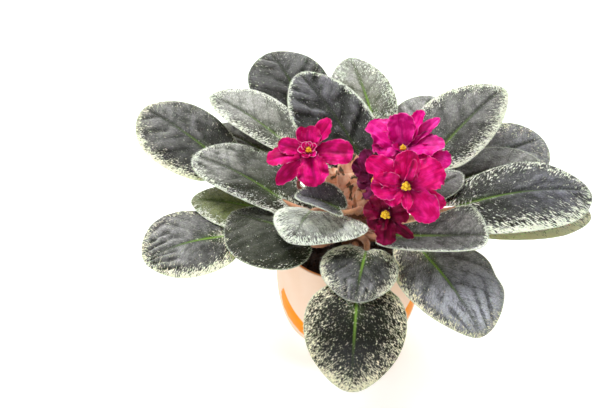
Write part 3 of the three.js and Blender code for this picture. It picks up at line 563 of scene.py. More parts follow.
def leaf_velvet():
    """The upper skin of a living leaf under a coat of short clear hairs: the hairs light up towards the
    rim and haze the dark green to slate, and cells without green show as white or cream flecks that run
    along the side veins."""
    made, tree, shader = new_finish("leaf_velvet", {
        "Roughness": 0.55, "IOR": 1.42, "Specular IOR Level": 0.25,
        "Sheen Roughness": 0.3, "Sheen Tint": "#dcdff0",
        "Subsurface Weight": 0.35, "Subsurface Scale": 1.5 * MM, "Subsurface Radius": (0.7, 1, 0.4)})
    flat = add(tree, "Attribute", {}, attribute_name="flat")["Vector"]
    veined = add(tree, "Attribute", {}, attribute_name="veined")["Vector"]
    tones = add(tree, "Attribute", {}, attribute_name="tones")["Vector"]
    casts = add(tree, "Attribute", {}, attribute_name="casts")["Vector"]
    aside, edge = add(tree, "SeparateXYZ", {0: flat})[1:3]
    phase = add(tree, "SeparateXYZ", {0: veined})[2]
    fleck_share, green_share, pale_share = add(tree, "SeparateXYZ", {0: tones})
    cream_share, olive_share, rib_strength = add(tree, "SeparateXYZ", {0: casts})
    from_rib = add(tree, "Math", {0: aside}, operation="ABSOLUTE")[0]
    net_size = add(tree, "VectorMath", {0: flat, 1: (1 / 2.4, 1 / 2.4, 0)}, operation="MULTIPLY")[0]
    net = add(tree, "TexVoronoi", {"Vector": net_size, "Scale": 1.0}, feature="DISTANCE_TO_EDGE")[0]

    skin, sheen = haired_ground(tree, flat, veined, pale_share, olive_share)
    skin = vein_lines(tree, skin, phase, from_rib, green_share, net)
    wash_share, rib_share = green_shares(tree, from_rib, green_share, rib_strength)
    skin = add(tree, "Mix", {0: wash_share, 6: skin, 7: "#4d6a22"}, data_type="RGBA")[2]
    skin = flecked_skin(tree, skin, flat, veined, fleck_share, cream_share)
    skin = add(tree, "Mix", {0: rib_share, 6: skin, 7: "#789f38"}, data_type="RGBA")[2]

    # The hairs of the margin stand against the light and draw a thin pale line.
    rim = add(tree, "MapRange", {0: edge, 1: 0.2, 2: 0.9, 3: 0.6, 4: 0.0})[0]
    skin = add(tree, "Mix", {0: rim, 6: skin, 7: "#c3ccb8"}, data_type="RGBA")[2]

    # Small cushions between the small veins, and the stipple of single hairs at 0.5 mm.
    cushions = add(tree, "MapRange", {0: net, 1: 0.0, 2: 0.35}, interpolation_type="SMOOTHSTEP")[0]
    stipple = add(tree, "TexNoise", {"Vector": flat, "Scale": 1 / 0.5, "Detail": 2.0})[0]
    soft = add(tree, "Bump", {"Height": cushions, "Strength": 0.5, "Distance": 0.35 * MM})[0]
    rough = add(tree, "Bump", {"Height": stipple, "Strength": 0.5, "Distance": 0.25 * MM, "Normal": soft})[0]
    set_inputs(tree, shader, {"Base Color": skin, "Sheen Weight": sheen, "Normal": rough})
    return made


def leaf_underside():
    """The lower skin of the leaf: paler, matt, flushed with wine between pale raised veins."""
    made, tree, shader = new_finish("leaf_underside", {
        "Roughness": 0.7, "IOR": 1.42, "Specular IOR Level": 0.3,
        "Sheen Weight": 0.3, "Sheen Roughness": 0.5, "Sheen Tint": "#e8e4dc"})
    flat = add(tree, "Attribute", {}, attribute_name="flat")["Vector"]
    veined = add(tree, "Attribute", {}, attribute_name="veined")["Vector"]
    phase = add(tree, "SeparateXYZ", {0: veined})[2]
    flush = add(tree, "TexNoise", {"Vector": flat, "Scale": 1 / 9, "Detail": 3.0})[0]
    flush_share = add(tree, "MapRange", {0: flush, 1: 0.4, 2: 0.65})[0]
    ground = add(tree, "Mix", {0: flush_share, 6: "#8b9a78", 7: "#8a6a62"}, data_type="RGBA")[2]
    to_vein = add(tree, "Math", {0: phase, 1: 0.5}, operation="PINGPONG")[0]
    vein_share = add(tree, "MapRange", {0: to_vein, 1: 0.02, 2: 0.09, 3: 0.7, 4: 0.0})[0]
    skin = add(tree, "Mix", {0: vein_share, 6: ground, 7: "#b9bd94"}, data_type="RGBA")[2]
    relief = add(tree, "Bump", {"Height": vein_share, "Strength": 0.8, "Distance": 0.5 * MM})[0]
    set_inputs(tree, shader, {"Base Color": skin, "Normal": relief})
    return made


def fleshy_stalk(name, main, flush, shadow):
    """A juicy living stalk with a thin skin: waxy, streaked lengthwise, and flushed in patches."""
    made, tree, shader = new_finish(name, {
        "Roughness": 0.5, "IOR": 1.4, "Specular IOR Level": 0.4,
        "Sheen Weight": 0.35, "Sheen Roughness": 0.4, "Sheen Tint": "#f4e9e0"})
    place = add(tree, "TexCoord", {})["Object"]
    patches = add(tree, "TexNoise", {"Vector": place, "Scale": 1 / (9 * MM), "Detail": 3.0})[0]
    patch_share = add(tree, "MapRange", {0: patches, 1: 0.35, 2: 0.65})[0]
    streaks = add(tree, "TexNoise", {"Vector": place, "Scale": 1 / (1.2 * MM), "Detail": 2.0})[0]
    streak_share = add(tree, "MapRange", {0: streaks, 1: 0.5, 2: 0.75, 3: 0.0, 4: 0.5})[0]
    skin = add(tree, "Mix", {0: patch_share, 6: main, 7: flush}, data_type="RGBA")[2]
    skin = add(tree, "Mix", {0: streak_share, 6: skin, 7: shadow}, data_type="RGBA")[2]
    relief = add(tree, "Bump", {"Height": streaks, "Strength": 0.6, "Distance": 0.2 * MM})[0]
    set_inputs(tree, shader, {"Base Color": skin, "Normal": relief})
    return made


def young_leaf_skin():
    """The skin of a leaf that has not greened yet: peach-pink flesh, with dark green only where the
    first cells along the veins have filled, so the blotches follow the veins, and painted shade in the folds."""
    made, tree, shader = new_finish("young_leaf_skin", {
        "Roughness": 0.5, "IOR": 1.4, "Specular IOR Level": 0.4,
        "Sheen Weight": 0.25, "Sheen Roughness": 0.4, "Sheen Tint": "#fbeee6"})
    flat = add(tree, "Attribute", {}, attribute_name="flat")["Vector"]
    veined = add(tree, "Attribute", {}, attribute_name="veined")["Vector"]
    raised = add(tree, "Attribute", {}, attribute_name="raised")["Fac"]
    phase = add(tree, "SeparateXYZ", {0: veined})[2]
    clouds = add(tree, "TexNoise", {"Vector": flat, "Scale": 1 / 5, "Detail": 2.0})[0]
    cloud_share = add(tree, "MapRange", {0: clouds, 1: 0.35, 2: 0.65})[0]
    flesh = add(tree, "Mix", {0: cloud_share, 6: "#f4b488", 7: "#ffdcb8"}, data_type="RGBA")[2]
    # Painted shade: the flesh is darker down in the folds.
    fold_shade_share = add(tree, "MapRange", {0: raised, 1: 0.05, 2: 0.55, 3: 0.75, 4: 0.0})[0]
    flesh = add(tree, "Mix", {0: fold_shade_share, 6: flesh, 7: "#c98a6c"}, data_type="RGBA")[2]
    blotch_size = add(tree, "VectorMath", {0: veined, 1: (1 / 4.5, 1 / 6, 0)}, operation="MULTIPLY")[0]
    blotches = add(tree, "TexNoise", {"Vector": blotch_size, "Scale": 1.0, "Detail": 3.0})[0]
    blotch_share = add(tree, "MapRange", {0: blotches, 1: 0.55, 2: 0.6, 3: 0.0, 4: 0.92})[0]
    skin = add(tree, "Mix", {0: blotch_share, 6: flesh, 7: "#34422a"}, data_type="RGBA")[2]
    to_vein = add(tree, "Math", {0: phase, 1: 0.5}, operation="PINGPONG")[0]
    vein_share = add(tree, "MapRange", {0: to_vein, 1: 0.0, 2: 0.12, 3: 0.5, 4: 0.0})[0]
    skin = add(tree, "Mix", {0: vein_share, 6: skin, 7: "#c4764e"}, data_type="RGBA")[2]
    relief = add(tree, "Bump", {"Height": clouds, "Strength": 0.6, "Distance": 0.4 * MM})[0]
    set_inputs(tree, shader, {"Base Color": skin, "Normal": relief})
    return made


def petal_skin(name, main, deep, light, edge, line):
    """The skin of a petal: every cell is a tiny dome that gathers light, so the colour is saturated and
    glitters faintly. It is deeper in the throat, darker with painted shade down in the folds, lined along the
    veins, and pale at the very edge, where it is one cell thick."""
    made, tree, shader = new_finish(name, {
        "Roughness": 0.5, "IOR": 1.35, "Specular IOR Level": 0.22,
        "Sheen Weight": 0.06, "Sheen Roughness": 0.35, "Sheen Tint": "#ff6fb8",
        "Subsurface Weight": 0.15, "Subsurface Scale": 1 * MM, "Subsurface Radius": (1, 0.1, 0.4)})
    flat = add(tree, "Attribute", {}, attribute_name="flat")["Vector"]
    tones = add(tree, "Attribute", {}, attribute_name="tones")["Vector"]
    to_edge = add(tree, "SeparateXYZ", {0: flat})[2]
    along, pale, fold = add(tree, "SeparateXYZ", {0: tones})
    clouds = add(tree, "TexNoise", {"Vector": flat, "Scale": 1 / 6, "Detail": 2.0})[0]
    cloud_share = add(tree, "MapRange", {0: clouds, 1: 0.42, 2: 0.7})[0]
    skin = add(tree, "Mix", {0: cloud_share, 6: main, 7: light}, data_type="RGBA")[2]

    # Veins 1.1 mm apart that run 16 mm, drawn wider than they are so that they show.
    line_size = add(tree, "VectorMath", {0: flat, 1: (1 / 16, 1 / 1.1, 0)}, operation="MULTIPLY")[0]
    lines = add(tree, "TexNoise", {"Vector": line_size, "Scale": 1.0, "Detail": 2.0})[0]
    line_share = add(tree, "MapRange", {0: lines, 1: 0.5, 2: 0.7, 3: 0.0, 4: 0.35})[0]
    skin = add(tree, "Mix", {0: line_share, 6: skin, 7: line}, data_type="RGBA")[2]
    throat = add(tree, "MapRange", {0: along, 1: 0.02, 2: 0.38, 3: 0.8, 4: 0.0},
                 interpolation_type="SMOOTHSTEP")[0]
    skin = add(tree, "Mix", {0: throat, 6: skin, 7: deep}, data_type="RGBA")[2]
    # Painted shade down in the folds.
    fold_shade = add(tree, "Math", {0: fold, 1: 0.65}, operation="MULTIPLY")[0]
    skin = add(tree, "Mix", {0: fold_shade, 6: skin, 7: deep}, data_type="RGBA")[2]
    # The pale share lifts the small petals round the anthers towards the light colour: partly their own paler
    # pink, partly painted light against the shade of their cup.
    skin = add(tree, "Mix", {0: pale, 6: skin, 7: light}, data_type="RGBA")[2]
    rim = add(tree, "MapRange", {0: to_edge, 1: 0.05, 2: 0.5, 3: 0.6, 4: 0.0})[0]
    rim_cover = add(tree, "Math", {0: pale, 1: 1.6, 2: cloud_share}, operation="MULTIPLY_ADD")[0]
    rim = add(tree, "Math", {0: rim, 1: rim_cover}, operation="MULTIPLY")[0]
    skin = add(tree, "Mix", {0: rim, 6: skin, 7: edge}, data_type="RGBA")[2]
    cells = add(tree, "TexVoronoi", {"Vector": flat, "Scale": 1 / 0.6})[0]
    ripple = add(tree, "Bump", {"Height": lines, "Strength": 0.6, "Distance": 0.6 * MM})[0]
    domes = add(tree, "Bump", {"Height": cells, "Strength": 0.35, "Distance": 0.12 * MM, "Normal": ripple})[0]
    set_inputs(tree, shader, {"Base Color": skin, "Normal": domes})
    return made


def pollen_sac():
    """Waxy yellow pollen sacs, dusty with pollen and amber between the dust."""
    made, tree, shader = new_finish("pollen_sac", {
        "Roughness": 0.6, "IOR": 1.45, "Specular IOR Level": 0.4,
        "Sheen Weight": 0.2, "Sheen Roughness": 0.5, "Sheen Tint": "#fff3c0"})
    place = add(tree, "TexCoord", {})["Object"]
    dust = add(tree, "TexNoise", {"Vector": place, "Scale": 1 / (0.7 * MM), "Detail": 3.0})[0]
    dust_share = add(tree, "MapRange", {0: dust, 1: 0.35, 2: 0.65})[0]
    skin = add(tree, "Mix", {0: dust_share, 6: "#e3a406", 7: "#ffe23a"}, data_type="RGBA")[2]
    relief = add(tree, "Bump", {"Height": dust, "Strength": 0.5, "Distance": 0.15 * MM})[0]
    set_inputs(tree, shader, {"Base Color": skin, "Normal": relief})
    return made


def plant_hair(name, low, high):
    """Clear many-celled hairs of the plant, drawn wider than the real 0.05 mm so that they show."""
    made, tree, shader = new_finish(name, {
        "Roughness": 0.5, "IOR": 1.4, "Specular IOR Level": 0.3,
        "Sheen Weight": 0.3, "Sheen Roughness": 0.4, "Sheen Tint": "#ffffff"})
    place = add(tree, "TexCoord", {})["Object"]
    tone = add(tree, "TexNoise", {"Vector": place, "Scale": 1 / (3 * MM), "Detail": 1.0})[0]
    tone_share = add(tree, "MapRange", {0: tone, 1: 0.35, 2: 0.65})[0]
    skin = add(tree, "Mix", {0: tone_share, 6: low, 7: high}, data_type="RGBA")[2]
    set_inputs(tree, shader, {"Base Color": skin})
    return made


def crown_skin():
    """The old woody stem: corky brown skin with paler scars where leaves have come away."""
    made, tree, shader = new_finish("crown_skin", {
        "Roughness": 0.85, "IOR": 1.45, "Specular IOR Level": 0.25})
    place = add(tree, "TexCoord", {})["Object"]
    cork = add(tree, "TexNoise", {"Vector": place, "Scale": 1 / (3 * MM), "Detail": 4.0})[0]
    scars = add(tree, "TexVoronoi", {"Vector": place, "Scale": 1 / (6 * MM)})[0]
    skin = add(tree, "Mix", {0: cork, 6: "#4a3224", 7: "#8a6548"}, data_type="RGBA")[2]
    scar_share = add(tree, "MapRange", {0: scars, 1: 0.15, 2: 0.3, 3: 0.5, 4: 0.0})[0]
    skin = add(tree, "Mix", {0: scar_share, 6: skin, 7: "#a98a66"}, data_type="RGBA")[2]
    relief = add(tree, "Bump", {"Height": cork, "Strength": 0.8, "Distance": 0.8 * MM})[0]
    set_inputs(tree, shader, {"Base Color": skin, "Normal": relief})
    return made


def peat():
    """Damp peat compost: nearly black crumbs with brown fibres, matt but for the odd wet glint."""
    made, tree, shader = new_finish("peat", {"IOR": 1.4, "Specular IOR Level": 0.3})
    place = add(tree, "TexCoord", {})["Object"]
    crumbs = add(tree, "TexNoise", {
        "Vector": place, "Scale": 1 / (1.8 * MM), "Detail": 5.0, "Roughness": 0.65})[0]
    crumb_share = add(tree, "MapRange", {0: crumbs, 1: 0.4, 2: 0.7})[0]
    skin = add(tree, "Mix", {0: crumb_share, 6: "#120b08", 7: "#3d2a1e"}, data_type="RGBA")[2]
    fibres = add(tree, "TexVoronoi", {"Vector": place, "Scale": 1 / (2.5 * MM)},
                 feature="DISTANCE_TO_EDGE")[0]
    fibre_share = add(tree, "MapRange", {0: fibres, 1: 0.0, 2: 0.04, 3: 0.4, 4: 0.0})[0]
    skin = add(tree, "Mix", {0: fibre_share, 6: skin, 7: "#5d412b"}, data_type="RGBA")[2]
    wet = add(tree, "MapRange", {0: crumbs, 1: 0.3, 2: 0.6, 3: 0.55, 4: 0.95})[0]
    relief = add(tree, "Bump", {"Height": crumbs, "Strength": 1.0, "Distance": 1.2 * MM})[0]
    set_inputs(tree, shader, {"Base Color": skin, "Roughness": wet, "Normal": relief})
    return made


def crescent_share(tree, aside, height, brush_edge):
    """Where the crescent is painted. Its outer edge is an ellipse. Its inner edge is a bulging diamond that
    hangs from a higher point, so the crescent ends in a point at each side."""
    outer_reach, outer_middle, outer_top = 62, 34, 64
    inner_reach, inner_top, inner_foot, bulge = 58, 47, 9, 1.25
    out_x = add(tree, "Math", {0: aside, 1: outer_reach}, operation="DIVIDE")[0]
    out_x = add(tree, "Math", {0: out_x, 1: 2}, operation="POWER")[0]
    out_z = add(tree, "MapRange", {0: height, 1: outer_middle, 2: outer_top}, clamp=False)[0]
    out_z = add(tree, "Math", {0: out_z, 1: out_z}, operation="MULTIPLY")[0]
    outer = add(tree, "Math", {0: out_x, 1: out_z}, operation="ADD")[0]
    outer = add(tree, "Math", {0: outer, 1: brush_edge}, operation="ADD")[0]
    in_x = add(tree, "Math", {0: aside, 1: inner_reach}, operation="DIVIDE")[0]
    in_x = add(tree, "Math", {0: in_x, 1: bulge}, operation="POWER")[0]
    in_z = add(tree, "MapRange", {0: height, 1: inner_top, 2: inner_foot}, clamp=False)[0]
    in_z = add(tree, "Math", {0: in_z, 1: 0}, operation="MAXIMUM")[0]
    in_z = add(tree, "Math", {0: in_z, 1: bulge}, operation="POWER")[0]
    inner = add(tree, "Math", {0: in_x, 1: in_z}, operation="ADD")[0]
    inside_outer = add(tree, "MapRange", {0: outer, 1: 1.0, 2: 0.985})[0]
    outside_inner = add(tree, "MapRange", {0: inner, 1: 1.0, 2: 1.01})[0]
    return add(tree, "Math", {0: inside_outer, 1: outside_inner}, operation="MULTIPLY")[0]


def rim_shade_share(tree, x, y, height):
    """Where painted shade turns the inside of the rim orange, only near the top."""
    radius = add(tree, "Math", {0: x, 1: x}, operation="MULTIPLY")[0]
    radius = add(tree, "Math", {0: y, 1: y, 2: radius}, operation="MULTIPLY_ADD")[0]
    radius = add(tree, "Math", {0: radius}, operation="SQRT")[0]
    rim_shade = add(tree, "MapRange", {0: radius, 1: 49.7 * MM, 2: 49.2 * MM, 3: 0.0, 4: 0.9})[0]
    above = add(tree, "MapRange", {0: height, 1: 60.0, 2: 63.0})[0]
    return add(tree, "Math", {0: rim_shade, 1: above}, operation="MULTIPLY")[0]


def glazed_pot():
    """Slip-cast earthenware, sprayed peach-cream and glazed: a soft wide gloss over faint cloudy colour,
    with one brushed orange crescent round the front, the same on the back, and painted shade in orange
    just inside the rim."""
    made, tree, shader = new_finish("glazed_pot", {
        "Roughness": 0.35, "IOR": 1.5, "Specular IOR Level": 0.05,
        "Coat Weight": 0.02, "Coat Roughness": 0.08, "Coat IOR": 1.5})
    place = add(tree, "TexCoord", {})["Object"]
    x, y, z = add(tree, "SeparateXYZ", {0: place})
    clouds = add(tree, "TexNoise", {"Vector": place, "Scale": 1 / (22 * MM), "Detail": 3.0})[0]
    glaze = add(tree, "Mix", {0: clouds, 6: "#f6d3b4", 7: "#fce3d0"}, data_type="RGBA")[2]

    # Round the wall: mm from the middle of the front or the back, and mm above the table.
    wall_radius = 51
    depth = add(tree, "Math", {0: y}, operation="ABSOLUTE")[0]
    round_angle = add(tree, "Math", {0: x, 1: depth}, operation="ARCTAN2")[0]
    aside = add(tree, "Math", {0: round_angle, 1: wall_radius}, operation="MULTIPLY")[0]
    aside = add(tree, "Math", {0: aside}, operation="ABSOLUTE")[0]
    height = add(tree, "Math", {0: z, 1: 1 / MM}, operation="MULTIPLY")[0]

    brush = add(tree, "TexNoise", {"Vector": place, "Scale": 1 / (5 * MM), "Detail": 2.0})[0]
    brush_edge = add(tree, "MapRange", {0: brush, 1: 0.3, 2: 0.7, 3: -0.05, 4: 0.05})[0]
    crescent = crescent_share(tree, aside, height, brush_edge)
    paint = add(tree, "Mix", {0: brush, 6: "#ff8a00", 7: "#ffa600"}, data_type="RGBA")[2]
    glaze = add(tree, "Mix", {0: crescent, 6: glaze, 7: paint}, data_type="RGBA")[2]
    # Painted shade in orange just inside the rim.
    rim_shade = rim_shade_share(tree, x, y, height)
    glaze = add(tree, "Mix", {0: rim_shade, 6: glaze, 7: "#f09244"}, data_type="RGBA")[2]
    peel = add(tree, "TexNoise", {"Vector": place, "Scale": 1 / (6 * MM), "Detail": 2.0})[0]
    relief = add(tree, "Bump", {"Height": peel, "Strength": 0.15, "Distance": 0.3 * MM})[0]
    set_inputs(tree, shader, {"Base Color": glaze, "Normal": relief})
    return made


def studio_floor():
    """A lit white table top."""
    made, tree, shader = new_finish("studio_floor", {
        "Roughness": 0.9, "Specular IOR Level": 0.1,
        "Emission Color": "#ffffff", "Emission Strength": 0.55})
    place = add(tree, "TexCoord", {})["Object"]
    fibre = add(tree, "TexNoise", {"Vector": place, "Scale": 40.0, "Detail": 2.0})[0]
    white = add(tree, "Mix", {0: fibre, 6: "#fafafa", 7: "#ffffff"}, data_type="RGBA")[2]
    set_inputs(tree, shader, {"Base Color": white})
    return made


LEAF_TOP = leaf_velvet()
LEAF_UNDER = leaf_underside()
LEAF_STALK = fleshy_stalk("leaf_stalk_skin", "#d39c70", "#b07a5e", "#8a5c44")
FLOWER_STALK = fleshy_stalk("flower_stalk_skin", "#9a5a4a", "#7a3a38", "#5c3a2a")
SEPAL = fleshy_stalk("sepal_skin", "#6d5a34", "#7c3838", "#3f4a26")
YOUNG = young_leaf_skin()
MAGENTA = petal_skin("petal_magenta", "#bf005a", "#5e002a", "#f51490", "#f9a9d2", "#94003f")
ROSE = petal_skin("petal_rose", "#da0066", "#6a0030", "#ff2498", "#ffb6d8", "#a00044")
PURPLE = petal_skin("petal_purple", "#d2007e", "#66003e", "#fa38ae", "#f8b4da", "#9a0060")
WINE = petal_skin("petal_wine", "#70002a", "#2a000f", "#a00c50", "#c4688c", "#3c0014")
MAROON = petal_skin("petal_maroon", "#5c0a34", "#2b0416", "#86205c", "#b0688e", "#8c3a70")
PETALS = {"left": MAGENTA, "top": PURPLE, "front": ROSE, "wine": WINE, "back": MAROON}
POLLEN = pollen_sac()
PALE_HAIR = plant_hair("pale_hair", "#c3cdbd", "#e4e8dc")
STALK_HAIR = plant_hair("stalk_hair", "#d9b29a", "#f0dccb")


def margins(grid):
    """The right and the left margin of a grid over a blade, without their ends."""
    return np.concatenate([grid[1:-1, 0], grid[1:-1, -1]])


def vein_phase(face):
    """Side veins passed on the way from base to tip. They leave the midrib at about 50 degrees and run
    forward to the margin."""
    return (face["flat"][..., 0] - 0.85 * np.abs(face["flat"][..., 1])) / face["length"] * SIDE_VEINS


def leaf_maps(face, look, relief):
    """Maps for the leaf's skins, from the distance to its margin, its side and how far along it is.
    flat: mm along the leaf, mm from the midrib, and mm to the margin.
    veined: mm along the midrib to where the side vein starts, mm from the midrib, and side veins passed.
    tones: shares of flecks, of green beside the midrib and of haze, with painted sheen towards the tip.
    casts: shares of cream and of olive, where below 0 is violet, and the strength of the midrib's green.
    raised: painted light and shade: 1 on the bulges, 0 in the hollows, less towards the base and on leaves in
    shade."""
    left, right, tip = look["flecks"]
    at_tip = ease(face["x"], 0.7, 0.95)
    share = np.where(face["y"] > 0, left, right) * (1 - at_tip) + tip * at_tip
    across = ease(np.abs(face["flat"][..., 1]), 0, 8)
    share = share * across + 0.5 * (left + right) * (1 - across) * (1 - at_tip) + tip * at_tip * (1 - across)
    fleck = 0.68 * share * (0.06 + 0.94 * np.exp(-(face["edge"] / look["band"]) ** 1.4))
    wash = look["green"] * (1 - ease(face["x"], -0.05, 0.42))
    rib = look["green"] * (1 - 0.95 * ease(face["x"], 0.2, 0.72))
    same = np.ones_like(fleck)
    coarse = look.get("coarse", 1)
    # Painted sheen: the haze is paler towards the tip and darker near the base.
    haze = look["pale"] + look.get("dusty", 0.3) * (ease(face["x"], 0.2, 0.95) - 0.3)
    olive, violet = look.get("olive", 0), look.get("violet", 0) * ease(face["x"], -0.1, 0.6)
    raised = 0.5 + 0.5 * np.tanh(1.2 * (relief - relief.mean()))
    return {
        "flat": np.concatenate([face["flat"], face["edge"][..., None]], -1),
        "veined": np.stack([vein_phase(face) * face["length"] / SIDE_VEINS / coarse,
                            face["flat"][..., 1] / coarse, vein_phase(face)], -1),
        "tones": np.stack([fleck, wash, np.clip(haze, 0, 1.6) * same], -1),
        "casts": np.stack([look["cream"] * same, olive - violet, rib], -1),
        # Painted shade: darker towards the base, where the leaves overlap, and on leaves that stand in shade.
        "raised": raised * (0.5 + 0.5 * ease(face["x"], 0, 0.6)) * (1 - look.get("dark", 0)),
    }


def leaf_relief(face, look, seed):
    """Height of the upper skin in mm: long ridges between the sunken side veins, small cushions on them,
    pleats that fan out to the tip, and a sunken midrib."""
    phase = vein_phase(face)
    across = np.abs(face["flat"][..., 1])
    side = np.where(face["y"] > 0, 7.0, 31.0)
    near_vein = 0.5 + 0.5 * np.cos(2 * np.pi * phase)
    ridges = lumps(phase * 2.2 + side, across / 12 + 5, seed)
    cushions = lumps(face["t"] * face["length"] / 3.6, face["flat"][..., 1] / 4.2 + 30, seed + 1)
    height = look["quilt"] * (0.3 * (0.35 - near_vein ** 4) + 0.75 * ridges + 0.35 * cushions)
    fan = np.arctan2(face["flat"][..., 1], 0.45 * face["length"] * (1.05 - face["x"]) + 12)
    pleats = np.cos(fan * 23 + seed) * ease(face["x"], 0.45, 0.85)
    height = (height + look.get("pleats", 0) * pleats) * ease(across, 0, 6) * ease(face["edge"], 0, 5)
    return height - 0.9 * np.exp(-(across / 1.6) ** 2) * ease(face["edge"], 1, 8)


def stalk_path(spec, thick, first_height):
    """The stalk's middle line, from the crown's axis to under the blade, and its radius along it."""
    face = blade_face(spec, LEAF_OUTLINE, 8, 2)["points"]
    normals = face_normals(face)
    base = np.array(spec["base"], float)
    ahead = unit(np.array(spec["tip"], float) - base)
    start = np.array((CROWN_X, 0, first_height), float)
    join = base - normals[1, 2] * (thick + 0.45)
    run = np.linalg.norm(join - start)
    out = start + unit((join - start) * (1, 1, 0)) * run * 0.45 + (0, 0, run * 0.1)
    control = np.array(spec["by"], float) if "by" in spec else out
    curve = bezier(start, control, join - ahead * run * 0.3, join, 14)
    radii = np.linspace(1.1, 1, len(curve)) * thick
    under = [face[i, 2] - normals[i, 2] * (thick * (1 - 0.65 * i / 6) + 1.4) for i in (2, 4, 6)]
    tail = smooth_path([join, *under], 9)[1:]
    return np.concatenate([curve, tail]), np.concatenate([radii, np.linspace(thick * 0.94, thick * 0.35, 9)])


def rooted_hairs(piece, points, directions, finish, seed, each, length, width, spread=0.3):
    """Hairs spread at random over the given points. each: how many there are to a point."""
    rng = np.random.default_rng(seed)
    chosen = rng.integers(0, len(points), int(len(points) * each * DETAIL))
    jitter = rng.normal(0, 0.35, (len(chosen), 3))
    direction = unit(directions[chosen])
    jitter -= direction * np.sum(jitter * direction, -1, keepdims=True)
    add_hairs(piece, points[chosen] + jitter, direction, length, width, spread, finish, seed + 1)


def make_leaf(name, spec, seed):
    """One leaf: its bulging blade, its stalk, and the hairs of the margin, the skin and the stalk."""
    face = blade_face(spec, LEAF_OUTLINE, int(84 * DETAIL), int(30 * DETAIL))
    normals = face_normals(face["points"])
    relief = leaf_relief(face, spec, seed)
    skin = face["points"] + normals * relief[..., None]
    thickness = 0.4 + 0.8 * ease(face["edge"], 0, 6)
    piece = Piece()
    add_sheet(piece, skin, normals, thickness, LEAF_TOP, LEAF_UNDER, leaf_maps(face, spec, relief))
    path, radii = stalk_path(spec, spec.get("stalk", STALK_RADIUS), spec["start"])
    rings, outward = add_tube(piece, path, radii, 10, LEAF_STALK)
    out = margins(face["out"]) + 0.35 * margins(normals)

    # A leaf 75 mm long and 62 wide has 4 hairs to a point of its margin and 0.42 to one of its skin.
    size = face["length"] / 75
    rooted_hairs(piece, margins(skin), out, PALE_HAIR, seed + 20,
                 each=4 * size, length=1.3, width=0.16, spread=0.35)
    rooted_hairs(piece, skin[2:-2].reshape(-1, 3), normals[2:-2].reshape(-1, 3), PALE_HAIR, seed + 40,
                 each=0.42 * size * spec["width"] / 62, length=0.9, width=0.1)
    rooted_hairs(piece, rings, outward, STALK_HAIR, seed + 60, each=2, length=1.1, width=0.12)
    piece.make(name + "_velvety", name)


def make_young_leaf(name, spec, seed):
    """One young leaf: its crumpled blade, its thin stalk and its downy hairs."""
    face = blade_face(spec, LEAF_OUTLINE, int(30 * DETAIL), int(12 * DETAIL))
    normals = face_normals(face["points"])
    folds = 0.9 * lumps(face["flat"][..., 0] / 5, face["flat"][..., 1] / 3.5 + 9, seed)
    folds += 0.35 * lumps(face["flat"][..., 0] / 2.4, face["flat"][..., 1] / 2 + 9, seed + 1)
    folds -= 0.5 * np.exp(-(face["flat"][..., 1] / 0.9) ** 2)
    skin = face["points"] + normals * (folds * ease(face["edge"], 0, 3))[..., None]
    along = face["t"] * face["length"] * 1.3 + seed * 11.0
    maps = {
        "flat": np.concatenate([face["flat"] + seed * 7.0, face["edge"][..., None]], -1),
        "veined": np.stack([along, face["flat"][..., 1], face["t"] * SIDE_VEINS], -1),
        "raised": 0.5 + 0.5 * np.tanh(1.4 * (folds - folds.mean())),
    }
    piece = Piece()
    add_sheet(piece, skin, normals, 0.4 + 0.4 * ease(face["edge"], 0, 3), YOUNG, YOUNG, maps)
    path, radii = stalk_path(spec, 1.2, CROWN_TOP - 2)
    rings, outward = add_tube(piece, path, radii, 10, LEAF_STALK)
    rooted_hairs(piece, margins(skin), margins(face["out"]), STALK_HAIR, seed + 20,
                 each=5, length=1.1, width=0.13, spread=0.35)
    rooted_hairs(piece, skin[2:-2].reshape(-1, 3), normals[2:-2].reshape(-1, 3), STALK_HAIR, seed + 40,
                 each=0.25, length=0.9, width=0.1)
    rooted_hairs(piece, rings, outward, STALK_HAIR, seed + 60, each=2, length=1.0, width=0.12)
    piece.make(name + "_downy", name)


def bloom_frame(spec):
    """Places points given as right, up and outward from the middle of the bloom's throat."""
    out = unit(spec["faces"])
    right = np.array((1, 0, 0)) - out * out[0]
    if np.linalg.norm(right) < 0.7:
        right = out * out[1] - np.array((0, 1, 0))
    right = unit(right)
    axes = np.array([right, np.cross(out, right), out])
    at = np.array(spec["at"], float)
    return (lambda points: at + np.asarray(points, float) @ axes), out


